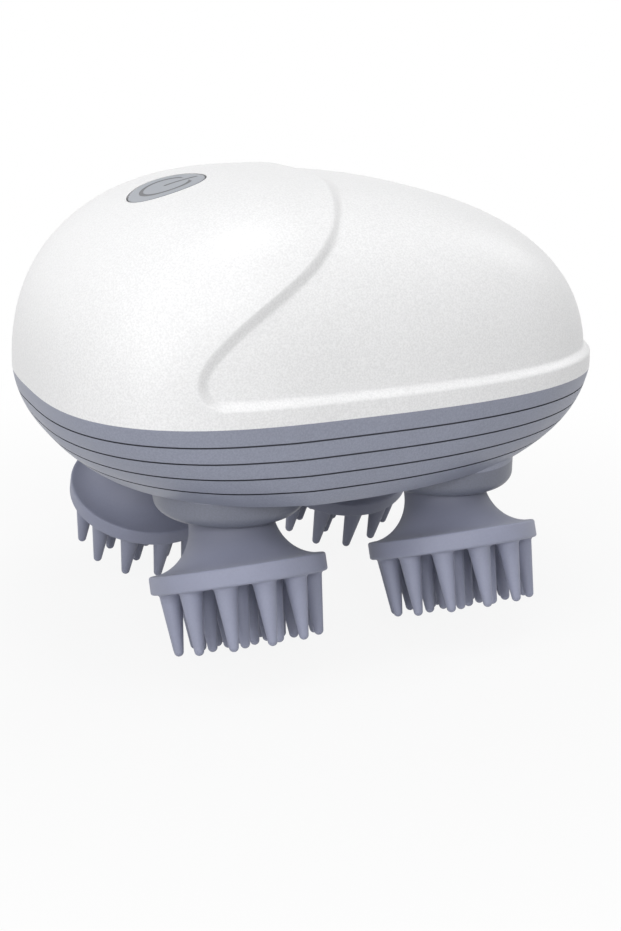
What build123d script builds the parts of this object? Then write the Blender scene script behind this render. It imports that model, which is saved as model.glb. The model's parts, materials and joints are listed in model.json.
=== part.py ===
from build123d import *

import os
from math import asin, atan, atan2, copysign, cos, degrees, pi, radians, sin, tan

# Electric scalp massager: an egg-shaped casing on four tilted, rotating heads of soft nubs.
# Millimetres. +X runs from the nose to the tail, +Z is up, and the nubs' lowest tips touch z = 0.
# The origin is under the middle of the casing.

# ---- Casing outline ------------------------------------------------------------------------------
NOSE_LENGTH = 50.3          # from the highest point of the casing to the nose
TAIL_LENGTH = 71.7          # from the highest point of the casing to the tail
HALF_WIDTH = 44.8
SEAM_Z = 53.1               # the upper and lower cases meet here, where the casing is widest
DOME_HEIGHT = 41.8
BELLY_Z = 35.5              # flat underside
PLAN_EXPONENT = 2.92        # 2 is an ellipse, more is squarer
DOME_EXPONENT = 2.26        # the dome's curve from nose to tail
DOME_SIDE_EXPONENT = 3.05   # the dome's curve from side to side
BOWL_PROFILE_DEPTH = 28.4   # where the lower case's curve would close if the belly didn't cut it
BOWL_NOSE_EXPONENT = 1.9
BOWL_TAIL_EXPONENT = 2.64
BOWL_SIDE_EXPONENT = 3.0
BOWL_PLAN_EXPONENT = 1.6    # the outline's exponent where the curve would close
CREST_X = (NOSE_LENGTH - TAIL_LENGTH) / 2

HOOD_WALL = 3.4
RECESS_DEPTH = 1.2          # the field behind the S-shaped step lies this far below the hood
LOWER_WALL = 2.6
FIT_GAP = 0.25              # between parts that move past each other
SNUG_GAP = 0.1              # between parts that are put together once

# ---- S-shaped step across the dome, as seen from the side: x and z -------------------------------
STEP_POINTS = ((1.2, 98.0), (-0.8, 95.3), (-3.9, 93.7), (-6.2, 91.7), (-10.1, 87.5), (-15.4, 82.7),
               (-22.6, 77.8), (-31.2, 71.9), (-36.0, 67.7))
STEP_NOSE_X = -39.6         # where the step drops to the rim
STEP_CORNER_RADIUS = 4.2
LEDGE_HEIGHT = 4.0          # the hood's rim above the seam, which runs on round the tail

# ---- Lower case ----------------------------------------------------------------------------------
GROOVE_PITCH = 3.5
GROOVE_COUNT = 4
GROOVE_WIDTH = 0.3
GROOVE_DEPTH = 0.4
BOSS_RADIUS = 15.3
BOSS_Y = 20.0
BOSS_OFFSET = 1.2           # the bosses stand this far towards the tail from the heads
BOSS_DROP = 5.5             # the bosses hang this far below the belly
BOSS_EDGE_RADIUS = 2.4
BOSS_WALL = 3.0
GASKET_WIDTH = 1.0
GASKET_HEIGHT = 1.2
GASKET_SETBACK = 0.8

# ---- Massage heads -------------------------------------------------------------------------------
HEAD_SPACING = 48.7         # between the left and right heads
GEAR_X = -2.6               # halfway between them
DISC_Y = 28.8               # middle of the disc's nub side
HEAD_TILT = 22.1            # the heads lean outwards at the bottom
DISC_RADIUS = 17.7
RIM_HEIGHT = 3.65
FLARE_RADIUS = 17.1
FLARE_TOP = 13.0
NECK_RADIUS = 8.5
NECK_TOP = 15.5
NUB_LENGTH = 12.25
NUB_BASE_RADIUS = 2.3
NUB_TIP_RADIUS = 0.95
NUB_RINGS = ((14.3, 12, 0.0), (9.2, 8, 22.5), (4.1, 4, 0.0))   # ring radius, nubs, first angle
HEAD_TURNS = {"left_front": -1.6, "left_rear": -2.0, "right_front": -7.5, "right_rear": -4.0}
NUB_ROOT = 0.4              # how far a nub's base sinks into the disc
CORE_RADIUS = 15.0
CORE_BOTTOM = 1.2
CORE_THICKNESS = 1.9
CORE_NECK_RADIUS = 6.6

# ---- Output shafts, measured along the tilted axis from the disc's nub side ----------------------
SHAFT_RADIUS = 2.0
RUNNING_GAP = 0.05          # radial clearance of a shaft in a bush or seal
HUB_ACROSS_FLATS = 8.0
HUB_BOTTOM = 5.0
HUB_FLANGE_RADIUS = 7.5
HUB_FLANGE_THICKNESS = 1.4
HUB_CAP = 1.0               # closed end of the drive hub under the shaft
POCKET_GAP = 0.7
POCKET_TOP = 17.6
SEAL_RADIUS = 5.0
SEAL_HEIGHT = 3.0
SEAL_SETBACK = 0.3
BUSH_WALL = 2.0
BUSH_LENGTH = 4.0
TUBE_WALL = 2.2
POCKET_WALL = 2.2
TUBE_TOP = 26.5

# ---- Worm drive ----------------------------------------------------------------------------------
WORM_Z = 48.9
GEAR_MODULE = 0.8
WHEEL_TEETH = 26
WHEEL_WIDTH = 5.0
ADDENDUM = 0.75
DEDENDUM = 1.0
PRESSURE_ANGLE = 20.0
BACKLASH = 0.16             # taken off the thickness of each tooth and of the thread
TOOTH_ROOT = 0.3            # how far teeth and thread sink into their blanks
WORM_TURNS = 6
WORM_SHAFT_RADIUS = 1.5
WHEEL_HUB_RADIUS = 4.6
WHEEL_COLLAR_TOP = 45.6
BRIDGE_BOTTOM = 46.0
BRIDGE_THICKNESS = 3.0

# ---- Motor ---------------------------------------------------------------------------------------
MOTOR_RADIUS = 10.0
MOTOR_LENGTH = 20.0
MOTOR_WALL = 1.0
END_CAP_THICKNESS = 1.5
END_BOSS_RADIUS = 3.1
END_BOSS_LENGTH = 1.4
ROTOR_RADIUS = 7.6
ROTOR_LENGTH = 13.0
CLAMP_WIDTH = 10.0
CLAMP_THICKNESS = 1.6
CLAMP_FOOT_Z = 45.9
CLAMP_FOOT_HEIGHT = 2.4
CLAMP_SCREW_Y = 16.5
PEDESTAL_THICKNESS = 3.0
PEDESTAL_HALF_WIDTH = 5.0
WORM_BUSH_WALL = 1.5

# ---- Posts and screws ----------------------------------------------------------------------------
POST_RADIUS = 3.6
SCREW_RADIUS = 1.3
SCREW_HEAD_RADIUS = 2.5
SCREW_HEAD_HEIGHT = 1.8
SCREW_HOLE_GAP = 0.2
SCREW_BITE = 8.0            # how far a screw goes into its post
CASE_SCREW_SEAT = 8.0       # from the seam down to the case screws' heads
CASE_SCREW_SIDE_Y = 31.0
NOSE_POST_GAP = 0.4         # between the nose post and the left bridge's pedestal
TAIL_POST_GAP = 1.5         # between the tail post and the main board
BRIDGE_LEG_X = 13.9         # from the head's shaft plane
BRIDGE_LEG_Y = 20.0
BRIDGE_LEG_RADIUS = 3.0
BRIDGE_POST_TOP = 42.9
BRIDGE_SCREW_BITE = 5.0
LEG_PROUD = 0.6

# ---- Battery and boards --------------------------------------------------------------------------
CELL_RADIUS = 9.0
CELL_LENGTH = 50.0
CELL_TERMINAL_RADIUS = 2.6
CELL_TERMINAL_HEIGHT = 1.0
CELL_SETBACK = 1.2          # the cell starts this far in front of the left bridge's inner legs
CELL_Z = 71.5
CRADLE_WALL = 1.6
CRADLE_LENGTH = 42.0
CRADLE_MOUTH = 100.0        # degrees left open at the top
CRADLE_BAR_WIDTH = 7.4
CRADLE_BAR_HEIGHT = 2.4
BOARD_THICKNESS = 1.6
MAIN_BOARD_GAP = 2.35       # behind the right bridge
MAIN_BOARD_WIDTH = 34.0
MAIN_BOARD_BOTTOM = 42.3
MAIN_BOARD_HEIGHT = 27.0
BOARD_SLOT_DEPTH = 4.0
BOARD_RAIL = 1.8

# ---- Button --------------------------------------------------------------------------------------
BUTTON_X = -31.4
BUTTON_RADIUS = 8.2
BUTTON_THICKNESS = 3.0
BUTTON_CROWN = 0.35
BUTTON_SINK = 0.3           # the cap's rim lies this far under the hood
BUTTON_STEM_RADIUS = 2.6
BUTTON_STEM_END = 7.0       # depth of the stem's end below the hood's surface
BUTTON_TRAVEL = 0.6
COLLAR_WALL = 1.6           # round the hole, inside the hood
SEAL_RING_THICKNESS = 0.9
SEAL_LEDGE_WIDTH = 3.0
SEAL_LEDGE_THICKNESS = 1.2
SWITCH_SIDE = 6.2
SWITCH_BODY_HEIGHT = 3.4
SWITCH_PLUNGER_RADIUS = 1.7
SWITCH_PLUNGER_HEIGHT = 0.9
BUTTON_BOARD_LENGTH = 16.0
BUTTON_BOARD_WIDTH = 27.0
BUTTON_POST_Y = 10.6
BUTTON_POST_RADIUS = 2.2

# ---- Charging contacts in the belly --------------------------------------------------------------
CONTACT_SPACING = 9.0
CONTACT_RADIUS = 1.5
CONTACT_HEAD_RADIUS = 2.3
CONTACT_HEAD_THICKNESS = 0.8
MAGNET_SPACING = 20.0
MAGNET_RADIUS = 3.0
MAGNET_THICKNESS = 1.6

SIDES = {"front": -1, "rear": 1}
ENDS = {"left": -1, "right": 1}
CORNERS = {end + "_" + side: (ENDS[end], SIDES[side]) for end in ENDS for side in SIDES}

TILT_SIN = sin(radians(HEAD_TILT))
TILT_COS = cos(radians(HEAD_TILT))
DISC_Z = NUB_TIP_RADIUS + (NUB_LENGTH - NUB_TIP_RADIUS) * TILT_COS + NUB_RINGS[0][0] * TILT_SIN
POCKET_RADIUS = NECK_RADIUS + POCKET_GAP
BUSH_RADIUS = SHAFT_RADIUS + BUSH_WALL
HUB_TOP = NECK_TOP + HUB_FLANGE_THICKNESS
PITCH = pi * GEAR_MODULE
WHEEL_PITCH_RADIUS = GEAR_MODULE * WHEEL_TEETH / 2
WHEEL_REACH = DISC_Y * TILT_COS - (WORM_Z - DISC_Z) * TILT_SIN     # worm axis to shaft axis
WORM_PITCH_RADIUS = WHEEL_REACH - WHEEL_PITCH_RADIUS
LEAD_ANGLE = degrees(atan(PITCH / (2 * pi * WORM_PITCH_RADIUS)))
WHEEL_LEVEL = DISC_Y * TILT_SIN + (WORM_Z - DISC_Z) * TILT_COS     # along the shaft's axis
SHAFT_TOP = BRIDGE_BOTTOM + BRIDGE_THICKNESS + 1.2
HEAD_X = {end: GEAR_X + ENDS[end] * HEAD_SPACING / 2 for end in ENDS}
PEDESTAL_INNER = WORM_TURNS * PITCH / 2 + PITCH + FIT_GAP        # from the wheel's middle, outwards
SHAFT_REACH = HEAD_SPACING / 2 + PEDESTAL_INNER + PEDESTAL_THICKNESS
INNER_LEG_X = HEAD_X["left"] + BRIDGE_LEG_X
CELL_START = INNER_LEG_X - CELL_SETBACK
MAIN_BOARD_X = HEAD_X["right"] + BRIDGE_LEG_X + BRIDGE_LEG_RADIUS + MAIN_BOARD_GAP
NOSE_POST_X = GEAR_X - SHAFT_REACH - NOSE_POST_GAP - POST_RADIUS
TAIL_POST_X = MAIN_BOARD_X + BOARD_THICKNESS + TAIL_POST_GAP + POST_RADIUS
CENTRED_ON_BASE = (Align.CENTER, Align.CENTER, Align.MIN)


# ---- Small helpers -------------------------------------------------------------------------------

def rod(radius, low, high):
    """An upright cylinder from one height to another."""
    return Pos(0, 0, low) * Cylinder(radius, high - low, align=CENTRED_ON_BASE)


def ring(outer, inner, low, high):
    """An upright tube from one height to another."""
    return rod(outer, low, high) - rod(inner, low, high)


def rod_x(radius, low, high):
    """A cylinder along X, on the motor's axis."""
    return Plane(origin=(0, 0, WORM_Z), x_dir=(0, 1, 0), z_dir=(1, 0, 0)) * rod(radius, low, high)


def box(x_range, y_range, z_range):
    """A box between two values on each axis."""
    size = [high - low for low, high in (x_range, y_range, z_range)]
    return Pos(x_range[0], y_range[0], z_range[0]) * Box(*size, align=(Align.MIN,) * 3)


def group(pieces):
    """Several separate solids that share one node."""
    return Compound(children=[solid for piece in pieces for solid in piece.solids()])


def output_axis(end, side):
    """The frame of one output shaft: its origin on the disc's nub side, +Z up along the shaft."""
    return Plane(origin=(GEAR_X + end * HEAD_SPACING / 2, side * DISC_Y, DISC_Z),
                 x_dir=(1, 0, 0), z_dir=(0, -side * TILT_SIN, TILT_COS))


def at_each_corner(piece):
    """The same piece on each of the four output shafts."""
    return [output_axis(*corner) * piece for corner in CORNERS.values()]


# ---- Casing surfaces -----------------------------------------------------------------------------

ARC_STEPS = 8          # spans in each quarter of the outline
ROUNDING = 9           # digits, so that the quarters meet exactly on the axes
DOME_ANGLES = (-9, 0, 9, 18, 27, 36, 45, 54, 62, 70, 76, 81, 85, 87.6)
LAYER_SECTIONS = 3     # outlines through each layer of the lower case
BOWL_SECTIONS = 8


def outline_wire(z, scales, exponent, inset):
    """The casing's outline at one height: a superellipse, longer towards the tail, in four arcs.

    The scales are those of its nose, its tail and its sides."""
    nose_scale, tail_scale, side_scale = scales
    arcs = []
    for quarter in range(4):
        start = quarter * pi / 2
        is_tail = cos(start + pi / 4) > 0
        reach = tail_scale * (TAIL_LENGTH - inset) if is_tail else nose_scale * (NOSE_LENGTH - inset)
        points = []
        for step in range(ARC_STEPS + 1):
            angle = start + step / ARC_STEPS * pi / 2
            along, across = [copysign(abs(share) ** (2 / exponent), share)
                             for share in (round(cos(angle), ROUNDING), round(sin(angle), ROUNDING))]
            points.append(Vector(CREST_X + reach * along, side_scale * (HALF_WIDTH - inset) * across, z))
        tangents = [Vector(-sin(angle), cos(angle), 0) for angle in (start, start + pi / 2)]
        arcs.append(Edge.make_spline(points, tangents=tangents))
    return Wire(arcs)


def dome(inset):
    """The upper half of the casing, or a copy that lies inside it by the inset."""
    wires = []
    for angle in DOME_ANGLES:
        rise = copysign(abs(sin(radians(angle))) ** (2 / DOME_EXPONENT), angle)
        end_scale = curve_scale(abs(rise), DOME_EXPONENT)
        scales = (end_scale, end_scale, curve_scale(abs(rise), DOME_SIDE_EXPONENT))
        wires.append(outline_wire(SEAM_Z + (DOME_HEIGHT - inset) * rise, scales, PLAN_EXPONENT, inset))
    return Solid.make_loft(wires)


def curve_scale(share, exponent):
    """The casing's size at a share of the way from the seam to where its curve closes, 1 at the seam."""
    return (1 - share ** exponent) ** (1 / exponent)


def bowl_outline(z, inset):
    """The lower case's outline at one height."""
    share = (SEAM_Z - z) / (BOWL_PROFILE_DEPTH - inset)
    scales = [curve_scale(share, exponent)
              for exponent in (BOWL_NOSE_EXPONENT, BOWL_TAIL_EXPONENT, BOWL_SIDE_EXPONENT)]
    plan_exponent = PLAN_EXPONENT + share * (BOWL_PLAN_EXPONENT - PLAN_EXPONENT)
    return outline_wire(z, scales, plan_exponent, inset)


def bowl(inset, top, bottom, sections):
    """A layer of the lower half of the casing, or of a copy inside it by the inset."""
    drop = (top - bottom) / (sections - 1)
    return Solid.make_loft([bowl_outline(top - step * drop, inset) for step in range(sections)])


def above_seam(lowest):
    """Everything above a height, as a box larger than the casing."""
    reach = NOSE_LENGTH + TAIL_LENGTH
    return box((-reach, reach), (-reach, reach), (lowest, SEAM_Z + reach))


def recess_prism():
    """The space behind the S-shaped step, from one side of the casing to the other."""
    ledge_z = SEAM_Z + LEDGE_HEIGHT
    beyond = TAIL_LENGTH + CREST_X + HALF_WIDTH
    top = STEP_POINTS[0]
    corner_top = (STEP_NOSE_X, ledge_z + STEP_CORNER_RADIUS)
    corner_end = (STEP_NOSE_X + STEP_CORNER_RADIUS, ledge_z)
    step = Spline(*STEP_POINTS, corner_top, tangents=[(0, -1), (0, -1)])
    corner = TangentArc(corner_top, corner_end, tangent=(0, -1))
    rest = Polyline(corner_end, (beyond, ledge_z), (beyond, top[1]), top)
    face = Plane.XZ * make_face([step, corner, rest])
    return extrude(face, amount=2 * HALF_WIDTH, both=True)


# ---- Upper case ----------------------------------------------------------------------------------

def hood_height(x):
    """The height of the hood's outer surface on the centre line."""
    reach = TAIL_LENGTH if x > CREST_X else NOSE_LENGTH
    return SEAM_Z + DOME_HEIGHT * (1 - (abs(x - CREST_X) / reach) ** DOME_EXPONENT) ** (1 / DOME_EXPONENT)


SLOPE_SPAN = 0.5
BUTTON_SLOPE = atan2(hood_height(BUTTON_X + SLOPE_SPAN) - hood_height(BUTTON_X - SLOPE_SPAN),
                     2 * SLOPE_SPAN)
BUTTON_PLANE = Plane(origin=(BUTTON_X, 0, hood_height(BUTTON_X)),
                     x_dir=(cos(BUTTON_SLOPE), 0, sin(BUTTON_SLOPE)),
                     z_dir=(-sin(BUTTON_SLOPE), 0, cos(BUTTON_SLOPE)))
BUTTON_HOLE_RADIUS = BUTTON_RADIUS + FIT_GAP
SEAL_RING_BOTTOM = -(BUTTON_THICKNESS + BUTTON_TRAVEL + FIT_GAP + SEAL_RING_THICKNESS)
COLLAR_BOTTOM = SEAL_RING_BOTTOM - SEAL_LEDGE_THICKNESS
SWITCH_TOP = -(BUTTON_STEM_END + BUTTON_TRAVEL + FIT_GAP / 2)
BUTTON_BOARD_TOP = SWITCH_TOP - SWITCH_PLUNGER_HEIGHT - SWITCH_BODY_HEIGHT


def button_space(piece):
    """A piece drawn about the button's axis, put in its place in the hood."""
    return BUTTON_PLANE * piece


CASE_SCREW_PLACES = ((GEAR_X, -CASE_SCREW_SIDE_Y), (GEAR_X, CASE_SCREW_SIDE_Y),
                     (NOSE_POST_X, 0), (TAIL_POST_X, 0))


def upper_case():
    """The white shell: the hood, the field behind the step, the button hole and the posts."""
    outer = (dome(0) & above_seam(SEAM_Z)) - (recess_prism() - dome(RECESS_DEPTH))
    button_posts = [Pos(0, side * BUTTON_POST_Y, 0) for side in SIDES.values()]
    posts = [Pos(x, y, 0) * rod(POST_RADIUS, SEAM_Z, SEAM_Z + DOME_HEIGHT) for x, y in CASE_SCREW_PLACES]
    posts += [button_space(place * rod(BUTTON_POST_RADIUS, BUTTON_BOARD_TOP, 0)) for place in button_posts]
    posts.append(button_space(rod(BUTTON_HOLE_RADIUS + COLLAR_WALL, COLLAR_BOTTOM, 0)))
    cavity = dome(HOOD_WALL) - posts
    holes = [Pos(x, y, 0) * rod(SCREW_RADIUS, SEAM_Z, SEAM_Z + SCREW_BITE) for x, y in CASE_SCREW_PLACES]
    holes += [button_space(place * rod(SCREW_RADIUS, BUTTON_BOARD_TOP, BUTTON_BOARD_TOP + SCREW_BITE / 2))
              for place in button_posts]
    holes.append(button_space(rod(BUTTON_HOLE_RADIUS, SEAL_RING_BOTTOM, HOOD_WALL)))
    holes.append(button_space(rod(BUTTON_HOLE_RADIUS - SEAL_LEDGE_WIDTH, COLLAR_BOTTOM, 0)))
    return outer - cavity - holes


# ---- Lower case ----------------------------------------------------------------------------------

BOSS_PLACES = [(HEAD_X[end] + BOSS_OFFSET, side * BOSS_Y) for end in ENDS for side in SIDES.values()]


def bosses():
    """The four round bosses under the belly that the necks turn in."""
    boss = rod(BOSS_RADIUS, BELLY_Z - BOSS_DROP, BELLY_Z + LOWER_WALL)
    boss = fillet(boss.edges().group_by(Axis.Z)[0], BOSS_EDGE_RADIUS)
    return [Pos(x, y, 0) * boss for x, y in BOSS_PLACES]


def shaft_tube():
    """The tilted wall round one neck pocket, seal and lower bush."""
    wide = rod(POCKET_RADIUS + POCKET_WALL, FLARE_TOP - POCKET_WALL, POCKET_TOP + POCKET_WALL)
    narrow = rod(SEAL_RADIUS + TUBE_WALL, POCKET_TOP, POCKET_TOP + SEAL_HEIGHT + TUBE_WALL)
    return wide + narrow + rod(BUSH_RADIUS + TUBE_WALL, POCKET_TOP, TUBE_TOP)


def shaft_tube_bore():
    """What is cut out of one shaft tube: the pocket, the seal seat and the bush seat."""
    seal_top = POCKET_TOP + SEAL_HEIGHT
    bush_bottom = TUBE_TOP - BUSH_LENGTH
    return (rod(POCKET_RADIUS, 0, POCKET_TOP) + rod(SEAL_RADIUS, POCKET_TOP, seal_top)
            + rod(SHAFT_RADIUS + FIT_GAP, seal_top, bush_bottom) + rod(BUSH_RADIUS, bush_bottom, TUBE_TOP))


def screw_post(x, y, top):
    """A solid post from the floor of the lower case, or from that of a boss."""
    return Pos(x, y, 0) * rod(POST_RADIUS, BELLY_Z - BOSS_DROP, top)


BRIDGE_LEGS = {end: [(HEAD_X[end] + way * BRIDGE_LEG_X, side * BRIDGE_LEG_Y)
                     for way in (-1, 1) for side in SIDES.values()] for end in ENDS}
CLAMP_FEET = [(GEAR_X, side * CLAMP_SCREW_Y) for side in SIDES.values()]
CONTACT_PLACES = [(GEAR_X, side * CONTACT_SPACING / 2) for side in SIDES.values()]
MAGNET_PLACES = [(GEAR_X, side * MAGNET_SPACING / 2) for side in SIDES.values()]


def grooved_bowl():
    """The solid lower half with its fine grooves parallel to the seam: thick and thin layers in turn."""
    layers = []
    top = SEAM_Z
    for number in range(1, GROOVE_COUNT + 1):
        groove_top = SEAM_Z - number * GROOVE_PITCH + GROOVE_WIDTH / 2
        groove_bottom = groove_top - GROOVE_WIDTH
        layers.append(bowl(0, top, groove_top, LAYER_SECTIONS))
        layers.append(bowl(GROOVE_DEPTH, groove_top, groove_bottom, LAYER_SECTIONS))
        top = groove_bottom
    return bowl(0, top, BELLY_Z, LAYER_SECTIONS) + layers


def lower_case():
    """The grey shell: grooved bowl, flat belly, bosses, posts, motor saddle and board slots."""
    floor_z = BELLY_Z + LOWER_WALL
    skin = grooved_bowl() + bosses()
    furniture = [output_axis(*corner) * shaft_tube() for corner in CORNERS.values()]
    furniture += [screw_post(x, y, SEAM_Z) for x, y in CASE_SCREW_PLACES]
    furniture += [screw_post(x, y, BRIDGE_POST_TOP) for legs in BRIDGE_LEGS.values() for x, y in legs]
    furniture += [screw_post(x, y, CLAMP_FOOT_Z) for x, y in CLAMP_FEET]
    furniture += [motor_saddle()] + board_rails()
    cavity = bowl(LOWER_WALL, SEAM_Z, floor_z, BOWL_SECTIONS) + boss_hollows() - furniture

    cuts = [output_axis(*corner) * shaft_tube_bore() for corner in CORNERS.values()]
    for x, y in CASE_SCREW_PLACES:
        cuts.append(Pos(x, y, 0) * rod(SCREW_RADIUS + SCREW_HOLE_GAP, BELLY_Z, SEAM_Z))
        cuts.append(Pos(x, y, 0) * rod(SCREW_HEAD_RADIUS + SCREW_HOLE_GAP, BELLY_Z, SEAM_Z - CASE_SCREW_SEAT))
    for x, y in BRIDGE_LEGS["left"] + BRIDGE_LEGS["right"]:
        cuts.append(Pos(x, y, 0) * rod(SCREW_RADIUS, BRIDGE_POST_TOP - BRIDGE_SCREW_BITE, BRIDGE_POST_TOP))
    for x, y in CLAMP_FEET:
        cuts.append(Pos(x, y, 0) * rod(SCREW_RADIUS, CLAMP_FOOT_Z - SCREW_BITE, CLAMP_FOOT_Z))
    cuts += [Pos(x, y, 0) * contact_pin() for x, y in CONTACT_PLACES]
    cuts += [Pos(x, y, 0) * magnet() for x, y in MAGNET_PLACES]
    return skin - cavity - cuts - gasket()


def boss_hollows():
    """The space inside each boss, round its shaft tube."""
    core = rod(BOSS_RADIUS - BOSS_WALL, BELLY_Z - BOSS_DROP + BOSS_WALL, BELLY_Z + LOWER_WALL + SNUG_GAP)
    return [Pos(x, y, 0) * core for x, y in BOSS_PLACES]


def gasket():
    """A soft seal in the lower case's rim."""
    outer = Face(bowl_outline(SEAM_Z, GASKET_SETBACK))
    inner = Face(bowl_outline(SEAM_Z, GASKET_SETBACK + GASKET_WIDTH))
    return extrude(outer, amount=-GASKET_HEIGHT) - extrude(inner, amount=-GASKET_HEIGHT)


def motor_saddle():
    """Two ribs on the floor that carry the motor."""
    half_width = MOTOR_RADIUS - 1
    reach = CLAMP_WIDTH / 2
    block = box((GEAR_X - reach, GEAR_X + reach), (-half_width, half_width),
                (BELLY_Z, WORM_Z - MOTOR_RADIUS / 2))
    return block - rod_x(MOTOR_RADIUS, GEAR_X - MOTOR_LENGTH, GEAR_X + MOTOR_LENGTH)


def board_rails():
    """Slotted rails that hold the main board's two lower corners."""
    slot = (MAIN_BOARD_X - SNUG_GAP, MAIN_BOARD_X + BOARD_THICKNESS + SNUG_GAP)
    rails = []
    for side in SIDES.values():
        edge = side * MAIN_BOARD_WIDTH / 2
        across = sorted((edge - side * BOARD_RAIL, edge + side * BOARD_RAIL))
        rail = box((slot[0] - BOARD_RAIL, slot[1] + BOARD_RAIL), across,
                   (BELLY_Z, MAIN_BOARD_BOTTOM + BOARD_SLOT_DEPTH))
        inner_edge = sorted((0, edge + side * SNUG_GAP))
        rails.append(rail - box(slot, inner_edge, (MAIN_BOARD_BOTTOM, SEAM_Z)))
    return rails


# ---- Fasteners -----------------------------------------------------------------------------------

def screw(seat, length):
    """A pan-head screw that points down: its head sits on the seat."""
    head = rod(SCREW_HEAD_RADIUS, seat, seat + SCREW_HEAD_HEIGHT)
    head = head - rod(SCREW_RADIUS / 2, seat + SCREW_HEAD_HEIGHT / 2, seat + SCREW_HEAD_HEIGHT)
    return head + rod(SCREW_RADIUS, seat - length, seat)


def case_screws():
    """Screws from the belly up into the upper case."""
    seat = SEAM_Z - CASE_SCREW_SEAT
    upward = Pos(0, 0, seat) * Rot(180, 0, 0) * screw(0, CASE_SCREW_SEAT + SCREW_BITE)
    return group([Pos(x, y, 0) * upward for x, y in CASE_SCREW_PLACES])


# ---- Massage heads -------------------------------------------------------------------------------

def nub():
    """One soft nub under the disc, tapering to a round tip."""
    tip_z = -(NUB_LENGTH - NUB_TIP_RADIUS)
    cone = Pos(0, 0, tip_z) * Cone(NUB_TIP_RADIUS, NUB_BASE_RADIUS, NUB_ROOT - tip_z, align=CENTRED_ON_BASE)
    return cone + Pos(0, 0, tip_z) * Sphere(NUB_TIP_RADIUS)


def head_core():
    """The stiff core inside a head, with a hexagonal socket for the drive hub."""
    core = (rod(CORE_RADIUS, CORE_BOTTOM, CORE_BOTTOM + CORE_THICKNESS)
            + rod(CORE_NECK_RADIUS, CORE_BOTTOM, NECK_TOP))
    flats = HUB_ACROSS_FLATS / 2 + SNUG_GAP
    socket = extrude(Pos(0, 0, HUB_BOTTOM - FIT_GAP) * RegularPolygon(flats, 6, major_radius=False),
                     amount=NECK_TOP - HUB_BOTTOM + FIT_GAP)
    return core - socket


def massage_head():
    """The soft head: disc, flared neck and rings of nubs, moulded over the core."""
    flare = EllipticalCenterArc((FLARE_RADIUS, FLARE_TOP), FLARE_RADIUS - NECK_RADIUS, FLARE_TOP - RIM_HEIGHT,
                                start_angle=180, arc_size=90)
    outline = Polyline((FLARE_RADIUS, RIM_HEIGHT), (DISC_RADIUS, RIM_HEIGHT), (DISC_RADIUS, 0), (0, 0),
                       (0, NECK_TOP), (NECK_RADIUS, NECK_TOP), (NECK_RADIUS, FLARE_TOP))
    head = revolve(Plane.XZ * make_face([flare, outline]), Axis.Z)
    nubs = [Rot(0, 0, first + 360 * number / count) * Pos(ring_radius, 0, 0) * nub()
            for ring_radius, count, first in NUB_RINGS for number in range(count)]
    core_space = [rod(CORE_RADIUS, CORE_BOTTOM, CORE_BOTTOM + CORE_THICKNESS),
                  rod(CORE_NECK_RADIUS, CORE_BOTTOM, NECK_TOP)]
    return head + nubs - core_space


def drive_hub():
    """The hexagonal driver on the shaft's lower end that a head plugs onto."""
    hexagon = extrude(Pos(0, 0, HUB_BOTTOM) * RegularPolygon(HUB_ACROSS_FLATS / 2, 6, major_radius=False),
                      amount=NECK_TOP - HUB_BOTTOM + SNUG_GAP)
    flange = rod(HUB_FLANGE_RADIUS, NECK_TOP + SNUG_GAP, HUB_TOP)
    return hexagon + flange - rod(SHAFT_RADIUS, HUB_BOTTOM + HUB_CAP, HUB_TOP)


# ---- Worm drive ----------------------------------------------------------------------------------

def tooth_profile(pitch_radius, embed):
    """A straight-flanked tooth standing outwards along X: half thickness grows towards the root."""
    slope = tan(radians(PRESSURE_ANGLE))
    half_pitch_thickness = PITCH / 4 - BACKLASH / 2
    tip = half_pitch_thickness - ADDENDUM * slope
    root_depth = DEDENDUM + embed
    root = half_pitch_thickness + DEDENDUM * slope
    return [(pitch_radius - root_depth, -root), (pitch_radius + ADDENDUM, -tip),
            (pitch_radius + ADDENDUM, tip), (pitch_radius - root_depth, root)]


def mesh_offset(hand, side):
    """How far along X from the wheel's middle the thread stands where this wheel meets it."""
    around = HEAD_TILT if side > 0 else 180 - HEAD_TILT
    turns = hand * around / 360
    return PITCH * (turns - round(turns))


def worm_wheel(hand, side):
    """A wheel whose leaning teeth mesh with the worm, with a collar up to the bridge."""
    low, high = WHEEL_LEVEL - WHEEL_WIDTH / 2, WHEEL_LEVEL + WHEEL_WIDTH / 2
    wheel = rod(WHEEL_PITCH_RADIUS - DEDENDUM, low, high) + rod(WHEEL_HUB_RADIUS, low, WHEEL_COLLAR_TOP)
    bar = extrude(make_face(Polyline(*tooth_profile(WHEEL_PITCH_RADIUS, TOOTH_ROOT), close=True)),
                  amount=WHEEL_WIDTH, both=True)
    bar = Rot(-hand * LEAD_ANGLE, 0, 0) * bar
    bar = bar & rod(WHEEL_PITCH_RADIUS + ADDENDUM, -WHEEL_WIDTH / 2, WHEEL_WIDTH / 2)
    step = 360 / WHEEL_TEETH
    gap = -side * (90 - degrees(asin(mesh_offset(hand, side) / WHEEL_PITCH_RADIUS)))
    teeth = [Pos(0, 0, WHEEL_LEVEL) * Rot(0, 0, gap + step * (number + 0.5)) * bar
             for number in range(WHEEL_TEETH)]
    return wheel + teeth - rod(SHAFT_RADIUS, low, WHEEL_COLLAR_TOP)


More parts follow.
